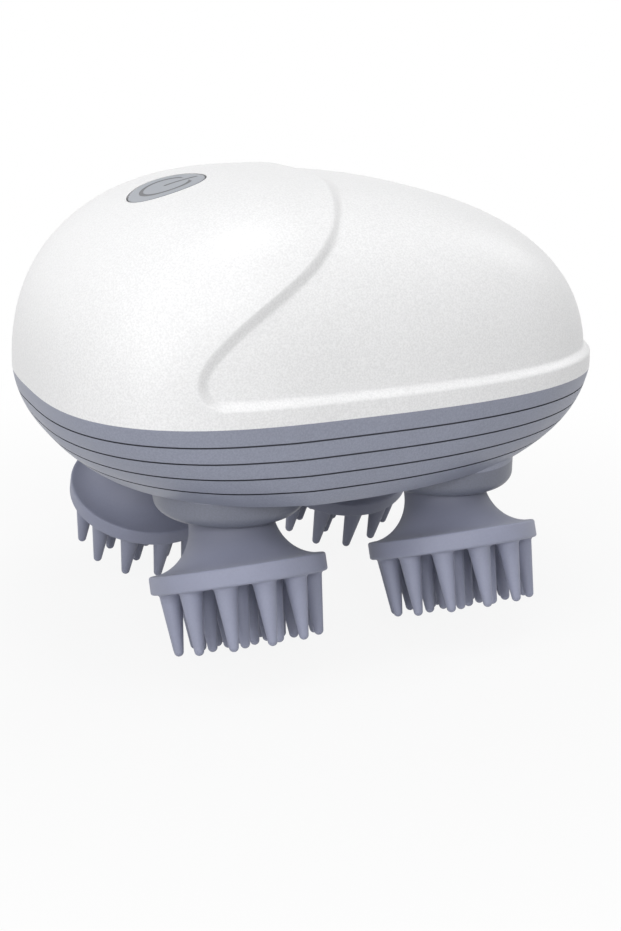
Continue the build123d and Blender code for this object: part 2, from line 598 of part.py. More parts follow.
def worm(end, hand):
    """A single-start worm, pressed on the drive shaft."""
    length = WORM_TURNS * PITCH
    frame = Plane(origin=(HEAD_X[end] - length / 2, 0, WORM_Z), x_dir=(0, 1, 0), z_dir=(1, 0, 0))
    helix = Helix(PITCH, length, WORM_PITCH_RADIUS, lefthand=hand < 0)
    section_plane = Plane(origin=helix @ 0, x_dir=(1, 0, 0), z_dir=helix % 0)
    section = section_plane * make_face(Polyline(*tooth_profile(0, TOOTH_ROOT), close=True))
    thread = sweep(section, path=helix, is_frenet=True)
    core = rod(WORM_PITCH_RADIUS - DEDENDUM, -PITCH, length + PITCH)
    return frame * (core + thread - rod(WORM_SHAFT_RADIUS, -PITCH, length + PITCH))


# ---- Motor ---------------------------------------------------------------------------------------

MOTOR_ENDS = (GEAR_X - MOTOR_LENGTH / 2, GEAR_X + MOTOR_LENGTH / 2)


def motor_can():
    """The motor's steel tube."""
    return rod_x(MOTOR_RADIUS, *MOTOR_ENDS) - rod_x(MOTOR_RADIUS - MOTOR_WALL, *MOTOR_ENDS)


def motor_end_caps():
    """The motor's two end caps with their shaft bearings."""
    caps = []
    for face, way in zip(MOTOR_ENDS, (-1, 1)):
        plate = rod_x(MOTOR_RADIUS, *sorted((face, face + way * END_CAP_THICKNESS)))
        nose_face = face + way * END_CAP_THICKNESS
        nose = rod_x(END_BOSS_RADIUS, *sorted((nose_face, nose_face + way * END_BOSS_LENGTH)))
        bore = rod_x(WORM_SHAFT_RADIUS + RUNNING_GAP, *sorted((face, nose_face + way * END_BOSS_LENGTH)))
        caps.append(plate + nose - bore)
    return group(caps)


def rotor_stack():
    """The motor's rotor, pressed on the drive shaft."""
    reach = ROTOR_LENGTH / 2
    return (rod_x(ROTOR_RADIUS, GEAR_X - reach, GEAR_X + reach)
            - rod_x(WORM_SHAFT_RADIUS, GEAR_X - reach, GEAR_X + reach))


def motor_clamp():
    """The strap that holds the motor down on its saddle."""
    low, high = GEAR_X - CLAMP_WIDTH / 2, GEAR_X + CLAMP_WIDTH / 2
    outer = MOTOR_RADIUS + CLAMP_THICKNESS
    foot_y = CLAMP_SCREW_Y + POST_RADIUS
    strap = rod_x(outer, low, high) & box((low, high), (-outer, outer), (CLAMP_FOOT_Z, WORM_Z + outer))
    feet = box((low, high), (-foot_y, foot_y), (CLAMP_FOOT_Z, CLAMP_FOOT_Z + CLAMP_FOOT_HEIGHT))
    clamp = strap + feet - rod_x(MOTOR_RADIUS, low, high)
    clamp = clamp - box((low, high), (-MOTOR_RADIUS, MOTOR_RADIUS), (CLAMP_FOOT_Z, WORM_Z))
    for x, y in CLAMP_FEET:
        clamp = clamp - Pos(x, y, 0) * rod(SCREW_RADIUS + SCREW_HOLE_GAP, CLAMP_FOOT_Z, WORM_Z)
    return clamp


# ---- Gearbox bridges -----------------------------------------------------------------------------

PLATE_Y = DISC_Y - BRIDGE_BOTTOM * TILT_SIN            # the shaft's axis in the bridge plate's underside
PLATE_Z = DISC_Z + BRIDGE_BOTTOM * TILT_COS
LEG_TOP = (PLATE_Z + (BRIDGE_LEG_Y + BRIDGE_LEG_RADIUS - PLATE_Y) * TILT_SIN / TILT_COS
           + BRIDGE_THICKNESS / TILT_COS + LEG_PROUD)


def gearbox_bridge(end):
    """The V-shaped plate over two worm wheels, on four legs, with a pedestal for the drive shaft."""
    way = ENDS[end]
    middle = HEAD_X[end]
    half_length = BRIDGE_LEG_X + BRIDGE_LEG_RADIUS
    half_width = BRIDGE_LEG_Y + BRIDGE_LEG_RADIUS
    outline = RectangleRounded(2 * half_length, 2 * half_width, BRIDGE_LEG_RADIUS - SNUG_GAP)
    column = extrude(Pos(middle, 0, 0) * outline, amount=SEAM_Z + DOME_HEIGHT)
    halves = []
    for side in SIDES.values():
        plate = output_axis(way, side) * box((-half_length, half_length), (-2 * DISC_Y, 2 * DISC_Y),
                                             (BRIDGE_BOTTOM, BRIDGE_BOTTOM + BRIDGE_THICKNESS))
        own_side = box((middle - half_length, middle + half_length), sorted((0, side * half_width)),
                       (BELLY_Z, SEAM_Z + DOME_HEIGHT))
        halves.append(plate & own_side & column)
    legs = [Pos(x, y, 0) * rod(BRIDGE_LEG_RADIUS, BRIDGE_POST_TOP, LEG_TOP) for x, y in BRIDGE_LEGS[end]]
    near = middle + way * PEDESTAL_INNER
    pedestal_x = sorted((near, near + way * PEDESTAL_THICKNESS))
    drop = WORM_Z - PEDESTAL_HALF_WIDTH
    crown = PLATE_Z - PLATE_Y * TILT_SIN / TILT_COS
    pedestal = box(pedestal_x, (-PEDESTAL_HALF_WIDTH, PEDESTAL_HALF_WIDTH), (drop, crown + BRIDGE_THICKNESS))
    bridge = halves[0] + halves[1:] + legs + pedestal

    motor_space = rod_x(MOTOR_RADIUS + FIT_GAP, MOTOR_ENDS[0] - END_CAP_THICKNESS - FIT_GAP,
                        MOTOR_ENDS[1] + END_CAP_THICKNESS + FIT_GAP)
    seat = rod(BUSH_RADIUS, BRIDGE_BOTTOM - FIT_GAP, BRIDGE_BOTTOM + BRIDGE_THICKNESS + FIT_GAP)
    cuts = [rod_x(WORM_SHAFT_RADIUS + WORM_BUSH_WALL, *pedestal_x), motor_space]
    cuts += [Pos(x, y, 0) * rod(SCREW_RADIUS + SCREW_HOLE_GAP, BRIDGE_POST_TOP, LEG_TOP)
             for x, y in BRIDGE_LEGS[end]]
    cuts += [output_axis(way, side) * seat for side in SIDES.values()]
    cuts.append(Pos(NOSE_POST_X, 0, 0) * rod(POST_RADIUS + FIT_GAP, SEAM_Z, LEG_TOP))
    return bridge - cuts


def worm_bushes():
    """Bushes for the drive shaft's two ends."""
    bushes = []
    for end, way in ENDS.items():
        near = HEAD_X[end] + way * PEDESTAL_INNER
        span = sorted((near, near + way * PEDESTAL_THICKNESS))
        bushes.append(rod_x(WORM_SHAFT_RADIUS + WORM_BUSH_WALL, *span)
                      - rod_x(WORM_SHAFT_RADIUS + RUNNING_GAP, *span))
    return group(bushes)


def bridge_screws():
    """Long screws down through the bridges' legs; the inner ones also hold the battery cradle."""
    screws = []
    for end, way in ENDS.items():
        for x, y in BRIDGE_LEGS[end]:
            is_inner = (x - HEAD_X[end]) * way < 0
            seat = LEG_TOP + (CRADLE_BAR_HEIGHT if is_inner else 0)
            length = seat - BRIDGE_POST_TOP + BRIDGE_SCREW_BITE
            screws.append(Pos(x, y, 0) * screw(seat, length))
    return group(screws)


# ---- Battery and boards --------------------------------------------------------------------------

def cell_rod(radius, low, high):
    """A cylinder along X on the battery's axis."""
    return Pos(0, 0, CELL_Z - WORM_Z) * rod_x(radius, low, high)


def battery_cell():
    """One rechargeable cell with its raised terminal."""
    end = CELL_START + CELL_LENGTH
    terminal = cell_rod(CELL_TERMINAL_RADIUS, end, end + CELL_TERMINAL_HEIGHT)
    return cell_rod(CELL_RADIUS, CELL_START, end) + terminal


def battery_cradle():
    """An open clip round the cell on two bars that lie on the bridges' inner legs."""
    inner = CELL_RADIUS + SNUG_GAP
    span = (INNER_LEG_X, INNER_LEG_X + CRADLE_LENGTH)
    clip = cell_rod(inner + CRADLE_WALL, *span)
    bar_reach = BRIDGE_LEG_Y + BRIDGE_LEG_RADIUS
    for end, way in ENDS.items():
        x = HEAD_X[end] - way * BRIDGE_LEG_X
        clip = clip + box((x - CRADLE_BAR_WIDTH / 2, x + CRADLE_BAR_WIDTH / 2), (-bar_reach, bar_reach),
                          (LEG_TOP, LEG_TOP + CRADLE_BAR_HEIGHT))
        for side in SIDES.values():
            clip = clip - Pos(x, side * BRIDGE_LEG_Y, 0) * rod(SCREW_RADIUS + SCREW_HOLE_GAP, LEG_TOP, CELL_Z)
    beyond = (INNER_LEG_X - CRADLE_LENGTH, INNER_LEG_X + 2 * CRADLE_LENGTH)
    clip = clip - cell_rod(inner, *beyond)
    mouth_y = (inner + CRADLE_WALL) * sin(radians(CRADLE_MOUTH / 2))
    mouth_z = CELL_Z + inner * cos(radians(CRADLE_MOUTH / 2))
    return clip - box(beyond, (-mouth_y, mouth_y), (mouth_z, mouth_z + CELL_RADIUS))


def main_board():
    """The control board, upright in its rails behind the right gearbox."""
    half = MAIN_BOARD_WIDTH / 2
    return box((MAIN_BOARD_X, MAIN_BOARD_X + BOARD_THICKNESS), (-half, half),
               (MAIN_BOARD_BOTTOM, MAIN_BOARD_BOTTOM + MAIN_BOARD_HEIGHT))


BOARD_PARTS = (   # middle y, bottom z above the board's lower edge, width, height, thickness
    (-9.0, 15.0, 7.0, 7.0, 1.0),
    (9.0, 16.0, 5.0, 4.0, 1.4),
    (10.0, 8.0, 6.0, 6.0, 1.2),
    (-8.0, 6.0, 4.0, 3.0, 1.6),
    (9.0, 22.0, 9.0, 4.0, 1.2),
)


def board_parts():
    """Chips, coil and connector on the control board's tail side."""
    face = MAIN_BOARD_X + BOARD_THICKNESS
    return group([box((face, face + depth), (y - width / 2, y + width / 2),
                      (MAIN_BOARD_BOTTOM + z, MAIN_BOARD_BOTTOM + z + height))
                  for y, z, width, height, depth in BOARD_PARTS])


# ---- Button --------------------------------------------------------------------------------------

def button_cap():
    """The round power button: a slightly crowned cap on a short stem."""
    rim = -BUTTON_SINK
    crown = ThreePointArc((-BUTTON_RADIUS, rim), (0, rim + BUTTON_CROWN), (BUTTON_RADIUS, rim))
    sides = Polyline((BUTTON_RADIUS, rim), (BUTTON_RADIUS, -BUTTON_THICKNESS),
                     (-BUTTON_RADIUS, -BUTTON_THICKNESS), (-BUTTON_RADIUS, rim))
    half = (Plane.XZ * make_face([crown, sides])) & (Plane.XZ * Pos(BUTTON_RADIUS, 0) * Rectangle(
        2 * BUTTON_RADIUS, 4 * BUTTON_THICKNESS))
    return button_space(revolve(half, Axis.Z) + rod(BUTTON_STEM_RADIUS, -BUTTON_STEM_END, -BUTTON_THICKNESS))


def button_seal():
    """A soft ring on the collar's ledge, round the button's stem."""
    return button_space(ring(BUTTON_HOLE_RADIUS, BUTTON_STEM_RADIUS + FIT_GAP, SEAL_RING_BOTTOM,
                             SEAL_RING_BOTTOM + SEAL_RING_THICKNESS))


def tact_switch():
    """The switch that the button's stem presses."""
    half = SWITCH_SIDE / 2
    body = box((-half, half), (-half, half), (BUTTON_BOARD_TOP, BUTTON_BOARD_TOP + SWITCH_BODY_HEIGHT))
    return button_space(body + rod(SWITCH_PLUNGER_RADIUS, BUTTON_BOARD_TOP + SWITCH_BODY_HEIGHT, SWITCH_TOP))


def button_board():
    """The small board under the switch, screwed to two posts in the hood."""
    board = box((-BUTTON_BOARD_LENGTH / 2, BUTTON_BOARD_LENGTH / 2),
                (-BUTTON_BOARD_WIDTH / 2, BUTTON_BOARD_WIDTH / 2),
                (BUTTON_BOARD_TOP - BOARD_THICKNESS, BUTTON_BOARD_TOP))
    for side in SIDES.values():
        board = board - Pos(0, side * BUTTON_POST_Y, 0) * rod(
            SCREW_RADIUS + SCREW_HOLE_GAP, BUTTON_BOARD_TOP - BOARD_THICKNESS, BUTTON_BOARD_TOP)
    return button_space(board)


def clamp_screws():
    """Two screws down through the motor clamp's feet."""
    clamp_screw = screw(CLAMP_FOOT_Z + CLAMP_FOOT_HEIGHT, CLAMP_FOOT_HEIGHT + SCREW_BITE)
    return group([Pos(x, y, 0) * clamp_screw for x, y in CLAMP_FEET])


def button_board_screws():
    """Two screws up into the hood's posts."""
    seat = BUTTON_BOARD_TOP - BOARD_THICKNESS
    upward = Pos(0, 0, seat) * Rot(180, 0, 0) * screw(0, BOARD_THICKNESS + SCREW_BITE / 2)
    return group([button_space(Pos(0, side * BUTTON_POST_Y, 0) * upward) for side in SIDES.values()])


# ---- Charging contacts ---------------------------------------------------------------------------

def contact_pin():
    """One contact, flush with the belly, with a wider head inside the floor."""
    head_low = BELLY_Z + LOWER_WALL - CONTACT_HEAD_THICKNESS
    return rod(CONTACT_RADIUS, BELLY_Z, head_low) + rod(CONTACT_HEAD_RADIUS, head_low, BELLY_Z + LOWER_WALL)


def magnet():
    """A magnet in the floor that holds the device on its charging stand."""
    top = BELLY_Z + LOWER_WALL
    return rod(MAGNET_RADIUS, top - MAGNET_THICKNESS, top)


# ---- Every node ----------------------------------------------------------------------------------

HANDS = {"left": 1, "right": -1}      # opposite threads, so that the two worms' thrusts cancel


def build_nodes():
    """All the pieces by name, in place."""
    nodes = {
        "upper_case": upper_case(),
        "lower_case": lower_case(),
        "case_gasket": gasket(),
        "case_screws": case_screws(),
        "button_cap": button_cap(),
        "button_seal": button_seal(),
        "tact_switch": tact_switch(),
        "button_board": button_board(),
        "button_board_screws": button_board_screws(),
        "main_board": main_board(),
        "board_parts": board_parts(),
        "battery_cell": battery_cell(),
        "battery_cradle": battery_cradle(),
        "motor_can": motor_can(),
        "motor_end_caps": motor_end_caps(),
        "rotor_stack": rotor_stack(),
        "motor_clamp": motor_clamp(),
        "clamp_screws": clamp_screws(),
        "drive_shaft": rod_x(WORM_SHAFT_RADIUS, GEAR_X - SHAFT_REACH, GEAR_X + SHAFT_REACH),
        "worm_bushes": worm_bushes(),
        "bridge_screws": bridge_screws(),
        "upper_bushes": group(at_each_corner(ring(BUSH_RADIUS, SHAFT_RADIUS + RUNNING_GAP, BRIDGE_BOTTOM,
                                                  BRIDGE_BOTTOM + BRIDGE_THICKNESS))),
        "lower_bushes": group(at_each_corner(ring(BUSH_RADIUS, SHAFT_RADIUS + RUNNING_GAP,
                                                  TUBE_TOP - BUSH_LENGTH, TUBE_TOP))),
        "shaft_seals": group(at_each_corner(ring(SEAL_RADIUS, SHAFT_RADIUS + RUNNING_GAP,
                                                 POCKET_TOP + SEAL_SETBACK, POCKET_TOP + SEAL_HEIGHT))),
        "charge_contacts": group([Pos(x, y, 0) * contact_pin() for x, y in CONTACT_PLACES]),
        "charge_magnets": group([Pos(x, y, 0) * magnet() for x, y in MAGNET_PLACES]),
    }
    for end, hand in HANDS.items():
        nodes["worm_" + end] = worm(end, hand)
        nodes["gearbox_bridge_" + end] = gearbox_bridge(end)
    head, core, hub = massage_head(), head_core(), drive_hub()
    shaft = rod(SHAFT_RADIUS, HUB_BOTTOM + HUB_CAP, SHAFT_TOP)
    for name, (end, side) in CORNERS.items():
        axis = output_axis(end, side)
        turn = Rot(0, 0, HEAD_TURNS[name])
        hand = HANDS["left" if end < 0 else "right"]
        nodes["massage_head_" + name] = axis * turn * head
        nodes["head_core_" + name] = axis * turn * core
        nodes["drive_hub_" + name] = axis * turn * hub
        nodes["output_shaft_" + name] = axis * shaft
        nodes["worm_wheel_" + name] = axis * worm_wheel(hand, side)
    return nodes


def main():
    """Write every node to its own STEP file."""
    os.makedirs("parts", exist_ok=True)
    for name, shape in build_nodes().items():
        export_step(shape, "parts/" + name + ".step")


main()
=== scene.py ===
import json
from functools import reduce
from math import atan2, cos, pi, radians, sin

import bpy
import numpy as np
from mathutils import Matrix, Vector


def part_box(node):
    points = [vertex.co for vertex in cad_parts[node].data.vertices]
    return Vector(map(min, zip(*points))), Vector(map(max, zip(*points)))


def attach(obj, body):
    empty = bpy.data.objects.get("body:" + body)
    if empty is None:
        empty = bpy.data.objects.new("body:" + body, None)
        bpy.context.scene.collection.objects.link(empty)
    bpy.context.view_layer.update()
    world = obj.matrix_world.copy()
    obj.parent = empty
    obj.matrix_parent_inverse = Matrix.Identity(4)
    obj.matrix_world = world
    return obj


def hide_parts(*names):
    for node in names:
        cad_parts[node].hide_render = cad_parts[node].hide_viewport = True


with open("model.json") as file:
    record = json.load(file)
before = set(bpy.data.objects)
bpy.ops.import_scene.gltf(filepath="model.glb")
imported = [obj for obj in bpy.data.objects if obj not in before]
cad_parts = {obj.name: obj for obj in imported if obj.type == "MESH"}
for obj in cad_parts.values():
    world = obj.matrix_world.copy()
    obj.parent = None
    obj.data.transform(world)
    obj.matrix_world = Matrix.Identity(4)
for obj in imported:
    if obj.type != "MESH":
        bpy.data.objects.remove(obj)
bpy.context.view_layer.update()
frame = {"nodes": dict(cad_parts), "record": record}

# An electric scalp massager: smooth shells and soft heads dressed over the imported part. The scene is in
# metres, and the sizes below are in millimetres and degrees. The nose points to -X and +Z is up.
MM = 0.001


# ---- Sizes shared with the part --------------------------------------------------------------------
NOSE_LENGTH, TAIL_LENGTH, HALF_WIDTH = 50.3, 71.7, 44.8     # along the seam, from under the crest
CREST_X = (NOSE_LENGTH - TAIL_LENGTH) / 2
SEAM_Z, BELLY_Z, DOME_HEIGHT = 53.1, 35.5, 41.8
PLAN_EXPONENT, DOME_EXPONENT, DOME_SIDE_EXPONENT = 2.92, 2.26, 3.05     # 2 would be an ellipse
HOOD_WALL = 3.4                     # of the white shell all round

# The step from the hood down to the field behind it, seen from the side: x and z from the crest down to
# the nose, where a corner turns it into a ledge over the seam.
STEP_POINTS = ((1.2, 98.0), (-0.8, 95.3), (-3.9, 93.7), (-6.2, 91.7), (-10.1, 87.5), (-15.4, 82.7),
               (-22.6, 77.8), (-31.2, 71.9), (-36.0, 67.7))
STEP_NOSE_X, STEP_CORNER_RADIUS, LEDGE_HEIGHT, RECESS_DEPTH = -39.6, 4.2, 4.0, 1.2

GROOVE_PITCH, GROOVE_WIDTH, GROOVE_COUNT = 3.5, 0.3, 4

BUTTON_X, BUTTON_RADIUS, BUTTON_SINK, BUTTON_EDGE, FIT_GAP = -31.4, 8.2, 0.05, 0.35, 0.25
BUTTON_THICKNESS, STEM_RADIUS, STEM_END = 3.0, 2.6, 7.0

HEAD_SPACING, GEAR_X, DISC_Y, HEAD_TILT = 48.7, -2.6, 28.8, 22.1
DISC_RADIUS, RIM_HEIGHT, FLARE_RADIUS, FLARE_TOP = 17.7, 3.65, 17.1, 13.0
NECK_RADIUS, NECK_TOP = 8.5, 15.5
NUB_LENGTH, NUB_BASE_RADIUS, NUB_TIP_RADIUS = 12.25, 2.3, 0.95
NUB_RINGS = ((14.3, 12, 0.0), (9.2, 8, 22.5), (4.1, 4, 0.0))            # radius, count, first angle

# How far each head stands turned about its own axis, and each corner's way along X and along Y.
HEAD_TURNS = {"left_front": -1.6, "left_rear": -2.0, "right_front": -7.5, "right_rear": -4.0}
CORNERS = {end + "_" + side: (way, out) for end, way in (("left", -1), ("right", 1))
           for side, out in (("front", -1), ("rear", 1))}

# The height of a disc's middle, which sets its lowest nub tip on the floor.
DISC_Z = (NUB_TIP_RADIUS + (NUB_LENGTH - NUB_TIP_RADIUS) * cos(radians(HEAD_TILT))
          + NUB_RINGS[0][0] * sin(radians(HEAD_TILT)))


# ---- Camera ----------------------------------------------------------------------------------------
IMAGE_WIDTH, IMAGE_HEIGHT = 621, 931
VIEW_AZIMUTH, VIEW_ELEVATION, VIEW_ROLL = -24.3, 14.89, 0.6
VIEW_DISTANCE = 320.6 * MM
VIEW_TARGET = Vector((-2.8, 0, 48.22)) * MM
TARGET_PIXEL = (293.0, 383.1)       # where the target lies in the image
FOCAL_PIXELS = 1480.4
SENSOR = 36.0
CLIP_RANGE = (0.01, 100)            # metres


def place_camera():
    """A camera that looks at the target from the azimuth and elevation, shifted to frame the object."""
    turn, rise = radians(VIEW_AZIMUTH), radians(VIEW_ELEVATION)
    back = Vector((sin(turn) * cos(rise), -cos(turn) * cos(rise), sin(rise)))
    lens = bpy.data.cameras.new("camera")
    lens.sensor_width = SENSOR
    lens.lens = FOCAL_PIXELS / IMAGE_HEIGHT * SENSOR
    lens.shift_x = (IMAGE_WIDTH / 2 - TARGET_PIXEL[0]) / IMAGE_HEIGHT
    lens.shift_y = (TARGET_PIXEL[1] - IMAGE_HEIGHT / 2) / IMAGE_HEIGHT
    lens.clip_start, lens.clip_end = CLIP_RANGE
    camera = bpy.data.objects.new("camera", lens)
    camera.location = VIEW_TARGET + back * VIEW_DISTANCE
    aim = back.to_track_quat("Z", "Y").to_matrix() @ Matrix.Rotation(radians(VIEW_ROLL), 3, "Z")
    camera.rotation_euler = aim.to_euler()
    bpy.context.scene.collection.objects.link(camera)
    bpy.context.scene.camera = camera


# ---- Shader arithmetic -----------------------------------------------------------------------------
NOISE_SPAN = (0.3, 0.7)                     # what nearly all of a noise lies between
FIRST_COLOUR, SECOND_COLOUR = 6, 7          # a Mix node's colour sockets, by place: others have their names


class Value:
    """A number that changes over a surface: Python's operators on it add Math nodes."""

    def __init__(self, nodes, socket):
        self.nodes, self.socket = nodes, socket

    def __add__(self, other):
        return self.nodes.math("ADD", self, other)

    def __sub__(self, other):
        return self.nodes.math("SUBTRACT", self, other)

    def __rsub__(self, other):
        return self.nodes.math("SUBTRACT", other, self)

    def __mul__(self, other):
        return self.nodes.math("MULTIPLY", self, other)

    def __truediv__(self, other):
        return self.nodes.math("DIVIDE", self, other)

    def __rtruediv__(self, other):
        return self.nodes.math("DIVIDE", other, self)

    def __gt__(self, other):
        return self.nodes.math("GREATER_THAN", self, other)

    def __abs__(self):
        return self.nodes.math("ABSOLUTE", self)

    __radd__, __rmul__ = __add__, __mul__

    def high(self, other):
        """The higher of the two."""
        return self.nodes.math("MAXIMUM", self, other)

    def low(self, other):
        """The lower of the two."""
        return self.nodes.math("MINIMUM", self, other)

    def root(self):
        """The square root."""
        return self.nodes.math("SQRT", self)

    def wave(self):
        """The sine of the value in radians."""
        return self.nodes.math("SINE", self)

    def ramp(self, start, end, low=0.0, high=1.0):
        """Runs smoothly from low to high as this value goes from start to end."""
        return self.nodes.node("ShaderNodeMapRange", {"interpolation_type": "SMOOTHSTEP"},
                               {"Value": self, "From Min": start, "From Max": end,
                                "To Min": low, "To Max": high})["Result"]

    def spread(self, low=0.0, high=1.0):
        """A noise spread from low to high."""
        return self.ramp(*NOISE_SPAN, low, high)


class Nodes:
    """A node tree under construction."""

    def __init__(self, tree):
        self.tree = tree

    def node(self, kind, settings=None, inputs=None):
        """Adds a node, sets its settings, then its sockets by name or in order, and gives its outputs."""
        made = self.tree.nodes.new(kind)
        for key, value in (settings or {}).items():
            setattr(made, key, value)
        pairs = inputs.items() if isinstance(inputs, dict) else enumerate(inputs or ())
        for key, value in pairs:
            self.feed(made.inputs[key], value)
        return {output.name: Value(self, output) for output in made.outputs if output.enabled}

    def feed(self, socket, value):
        """Links a value to a socket, or sets the socket to a number, a vector or an opaque colour."""
        if isinstance(value, Value):
            self.tree.links.new(value.socket, socket)
        elif hasattr(socket.default_value, "__len__"):
            value = tuple(value)
            socket.default_value = value + (1.0,) * (len(socket.default_value) - len(value))
        else:
            socket.default_value = value

    def math(self, operation, *values):
        """A Math node on values and numbers, in their order."""
        return self.node("ShaderNodeMath", {"operation": operation}, values)["Value"]

    def seen_directly(self):
        """1 on what the camera sees directly, in a gloss or through glass, and 0 on other light."""
        path = self.node("ShaderNodeLightPath")
        return path["Is Camera Ray"].high(path["Is Glossy Ray"]).high(path["Is Transmission Ray"])


class Finish(Nodes):
    """A material under construction: its Principled shader and the nodes that feed it."""

    def __init__(self, name, colour, roughness, **constants):
        self.material = bpy.data.materials.new(name)
        self.material.use_nodes = True
        super().__init__(self.material.node_tree)
        self.shader = self.tree.nodes["Principled BSDF"]
        self.shader.inputs["Base Color"].default_value = (*colour, 1.0)
        self.shader.inputs["Roughness"].default_value = roughness
        for socket, value in constants.items():
            self.shader.inputs[socket.replace("_", " ")].default_value = value
        self.position = None

    def coordinates(self):
        """The point on the surface in the object's frame, in metres."""
        if self.position is None:
            self.position = self.node("ShaderNodeTexCoord")["Object"]
        return self.position

    def axes(self, vector=None):
        """The X, Y and Z of a vector, or of the point on the surface, in millimetres."""
        made = self.node("ShaderNodeSeparateXYZ", inputs=(vector or self.coordinates(),))
        return made["X"] / MM, made["Y"] / MM, made["Z"] / MM

    def noise(self, size, detail=2.0, roughness=0.5, vector=None):
        """Cloudy noise whose blotches are about the given size in millimetres, around 0.5."""
        return self.node("ShaderNodeTexNoise",
                         inputs={"Vector": vector or self.coordinates(), "Scale": 1 / (size * MM),
                                 "Detail": detail, "Roughness": roughness})["Fac"]

    def blend(self, amount, first, second):
        """A colour between two, by the amount."""
        return self.node("ShaderNodeMix", {"data_type": "RGBA"},
                         {"Factor": amount, FIRST_COLOUR: first, SECOND_COLOUR: second})["Result"]

    def bump(self, height, depth):
        """Raises the surface by the height value times a depth in millimetres."""
        raised = self.node("ShaderNodeBump", inputs={"Height": height, "Distance": depth * MM})["Normal"]
        self.feed(self.shader.inputs["Normal"], raised)

    def colour(self, value):
        self.feed(self.shader.inputs["Base Color"], value)

    def coloured(self):
        """The colour given last, to blend another over it."""
        return Value(self, self.shader.inputs["Base Color"].links[0].from_socket)

    def roughness(self, value):
        self.feed(self.shader.inputs["Roughness"], value)

    def metallic(self, value):
        self.feed(self.shader.inputs["Metallic"], value)


def shade(colour, factor):
    """A colour made lighter or darker."""
    return tuple(channel * factor for channel in colour)


# ---- Finishes --------------------------------------------------------------------------------------
WHITE = (0.82, 0.82, 0.825)
SLATE = (0.262, 0.279, 0.35)
SILICONE = (0.272, 0.287, 0.38)
BUTTON_GREY = (0.31, 0.33, 0.37)
CHARCOAL = (0.10, 0.105, 0.115)
COMPONENT_BLACK = (0.022, 0.022, 0.025)
NATURAL_ACETAL = (0.79, 0.77, 0.69)
RUBBER_BLACK = (0.035, 0.035, 0.038)
STEEL, BRASS, CHROME = (0.56, 0.57, 0.58), (0.72, 0.50, 0.20), (0.66, 0.65, 0.62)
LACQUER_GREEN, TRACK_GREEN = (0.012, 0.13, 0.05), (0.05, 0.24, 0.09)
SLEEVE_BLUE, CELL_METAL = (0.03, 0.12, 0.36), (0.62, 0.62, 0.62)

GROOVE_SHADE, GROOVE_BLUR = 0.3, 0.04       # how dark the painted shade in a groove is, and how wide its soft edge
BOSS_PAINTED_SHADE = 0.5                             # how far the painted shade on the bosses goes towards the grooves' dark grey
BOSS_SHADE_FADE = (0.3, 0.1)                   # the painted shade on the bosses fades in between these distances below the belly
NECK_PAINTED_SHADE, NECK_SHADE_RISE = 0.64, (4.0, 10.0)    # painted shade on the neck, reached between these heights over the disc
TOOL_MARKS = 12.0                           # how many times closer they lie along Z
BOARD_TRACKS, BOARD_WEAVE = 3.2, 9.0        # size of the mesh of tracks, and the weave's radians a mm
TRACK_EDGE = (0.03, 0.06)                   # where a track ends, in shares of the mesh's size
CELL_LIP, CELL_END = 7.0, 0.6               # how far out and how deep an end of the cell is bare
SLEEVE_EDGE = (0.1, 0.2)                    # width of the sleeve's soft edge, along the cell and across it


def moulded(name, colour, roughness, grain, depth, contrast, clouding=0.3):
    """Moulded plastic: a spark-eroded grain of some size and depth changes the colour by the contrast,
    a share of it as soft clouds, and the gloss is faintly uneven."""
    finish = Finish(name, colour, roughness)
    fine = finish.noise(grain, detail=3.0, roughness=0.6)
    cloud = finish.noise(14.0)
    tone = fine.spread() * (1 - clouding) + cloud.spread() * clouding
    finish.colour(finish.blend(tone, shade(colour, 1 - contrast), shade(colour, 1 + contrast)))
    finish.roughness(cloud.ramp(0.25, 0.75, roughness - 0.05, roughness + 0.05) + fine.spread(-0.04, 0.04))
    finish.bump(fine, depth)
    return finish


def white_shell():
    """Satin white plastic with a sandy grain."""
    finish = moulded("white_shell", WHITE, 0.42, grain=0.36, depth=0.03, contrast=0.075, clouding=0.1)
    return finish.material


def grey_shell():
    """Slate grey plastic with painted shade on the bosses below the belly, and a line of painted shade in
    each groove.
    """
    finish = moulded("grey_shell", SLATE, 0.42, grain=0.36, depth=0.02, contrast=0.1, clouding=0.2)
    height = finish.axes()[2]
    dark = shade(SLATE, GROOVE_SHADE)
    nearest = reduce(Value.low, (abs(height - (SEAM_Z - number * GROOVE_PITCH))
                                 for number in range(1, GROOVE_COUNT + 1)))
    # painted shade inside each groove
    groove_shade_mask = nearest.ramp(GROOVE_WIDTH / 2, GROOVE_WIDTH / 2 + GROOVE_BLUR, 1.0, 0.0)
    # painted shade on the bosses below the belly, where the bowl above shades them
    painted_boss_shade = height.ramp(BELLY_Z - BOSS_SHADE_FADE[0], BELLY_Z - BOSS_SHADE_FADE[1], 1.0, 0.0)
    shell = finish.blend(painted_boss_shade * BOSS_PAINTED_SHADE, finish.coloured(), dark)
    finish.colour(finish.blend(groove_shade_mask, shell, dark))
    return finish.material


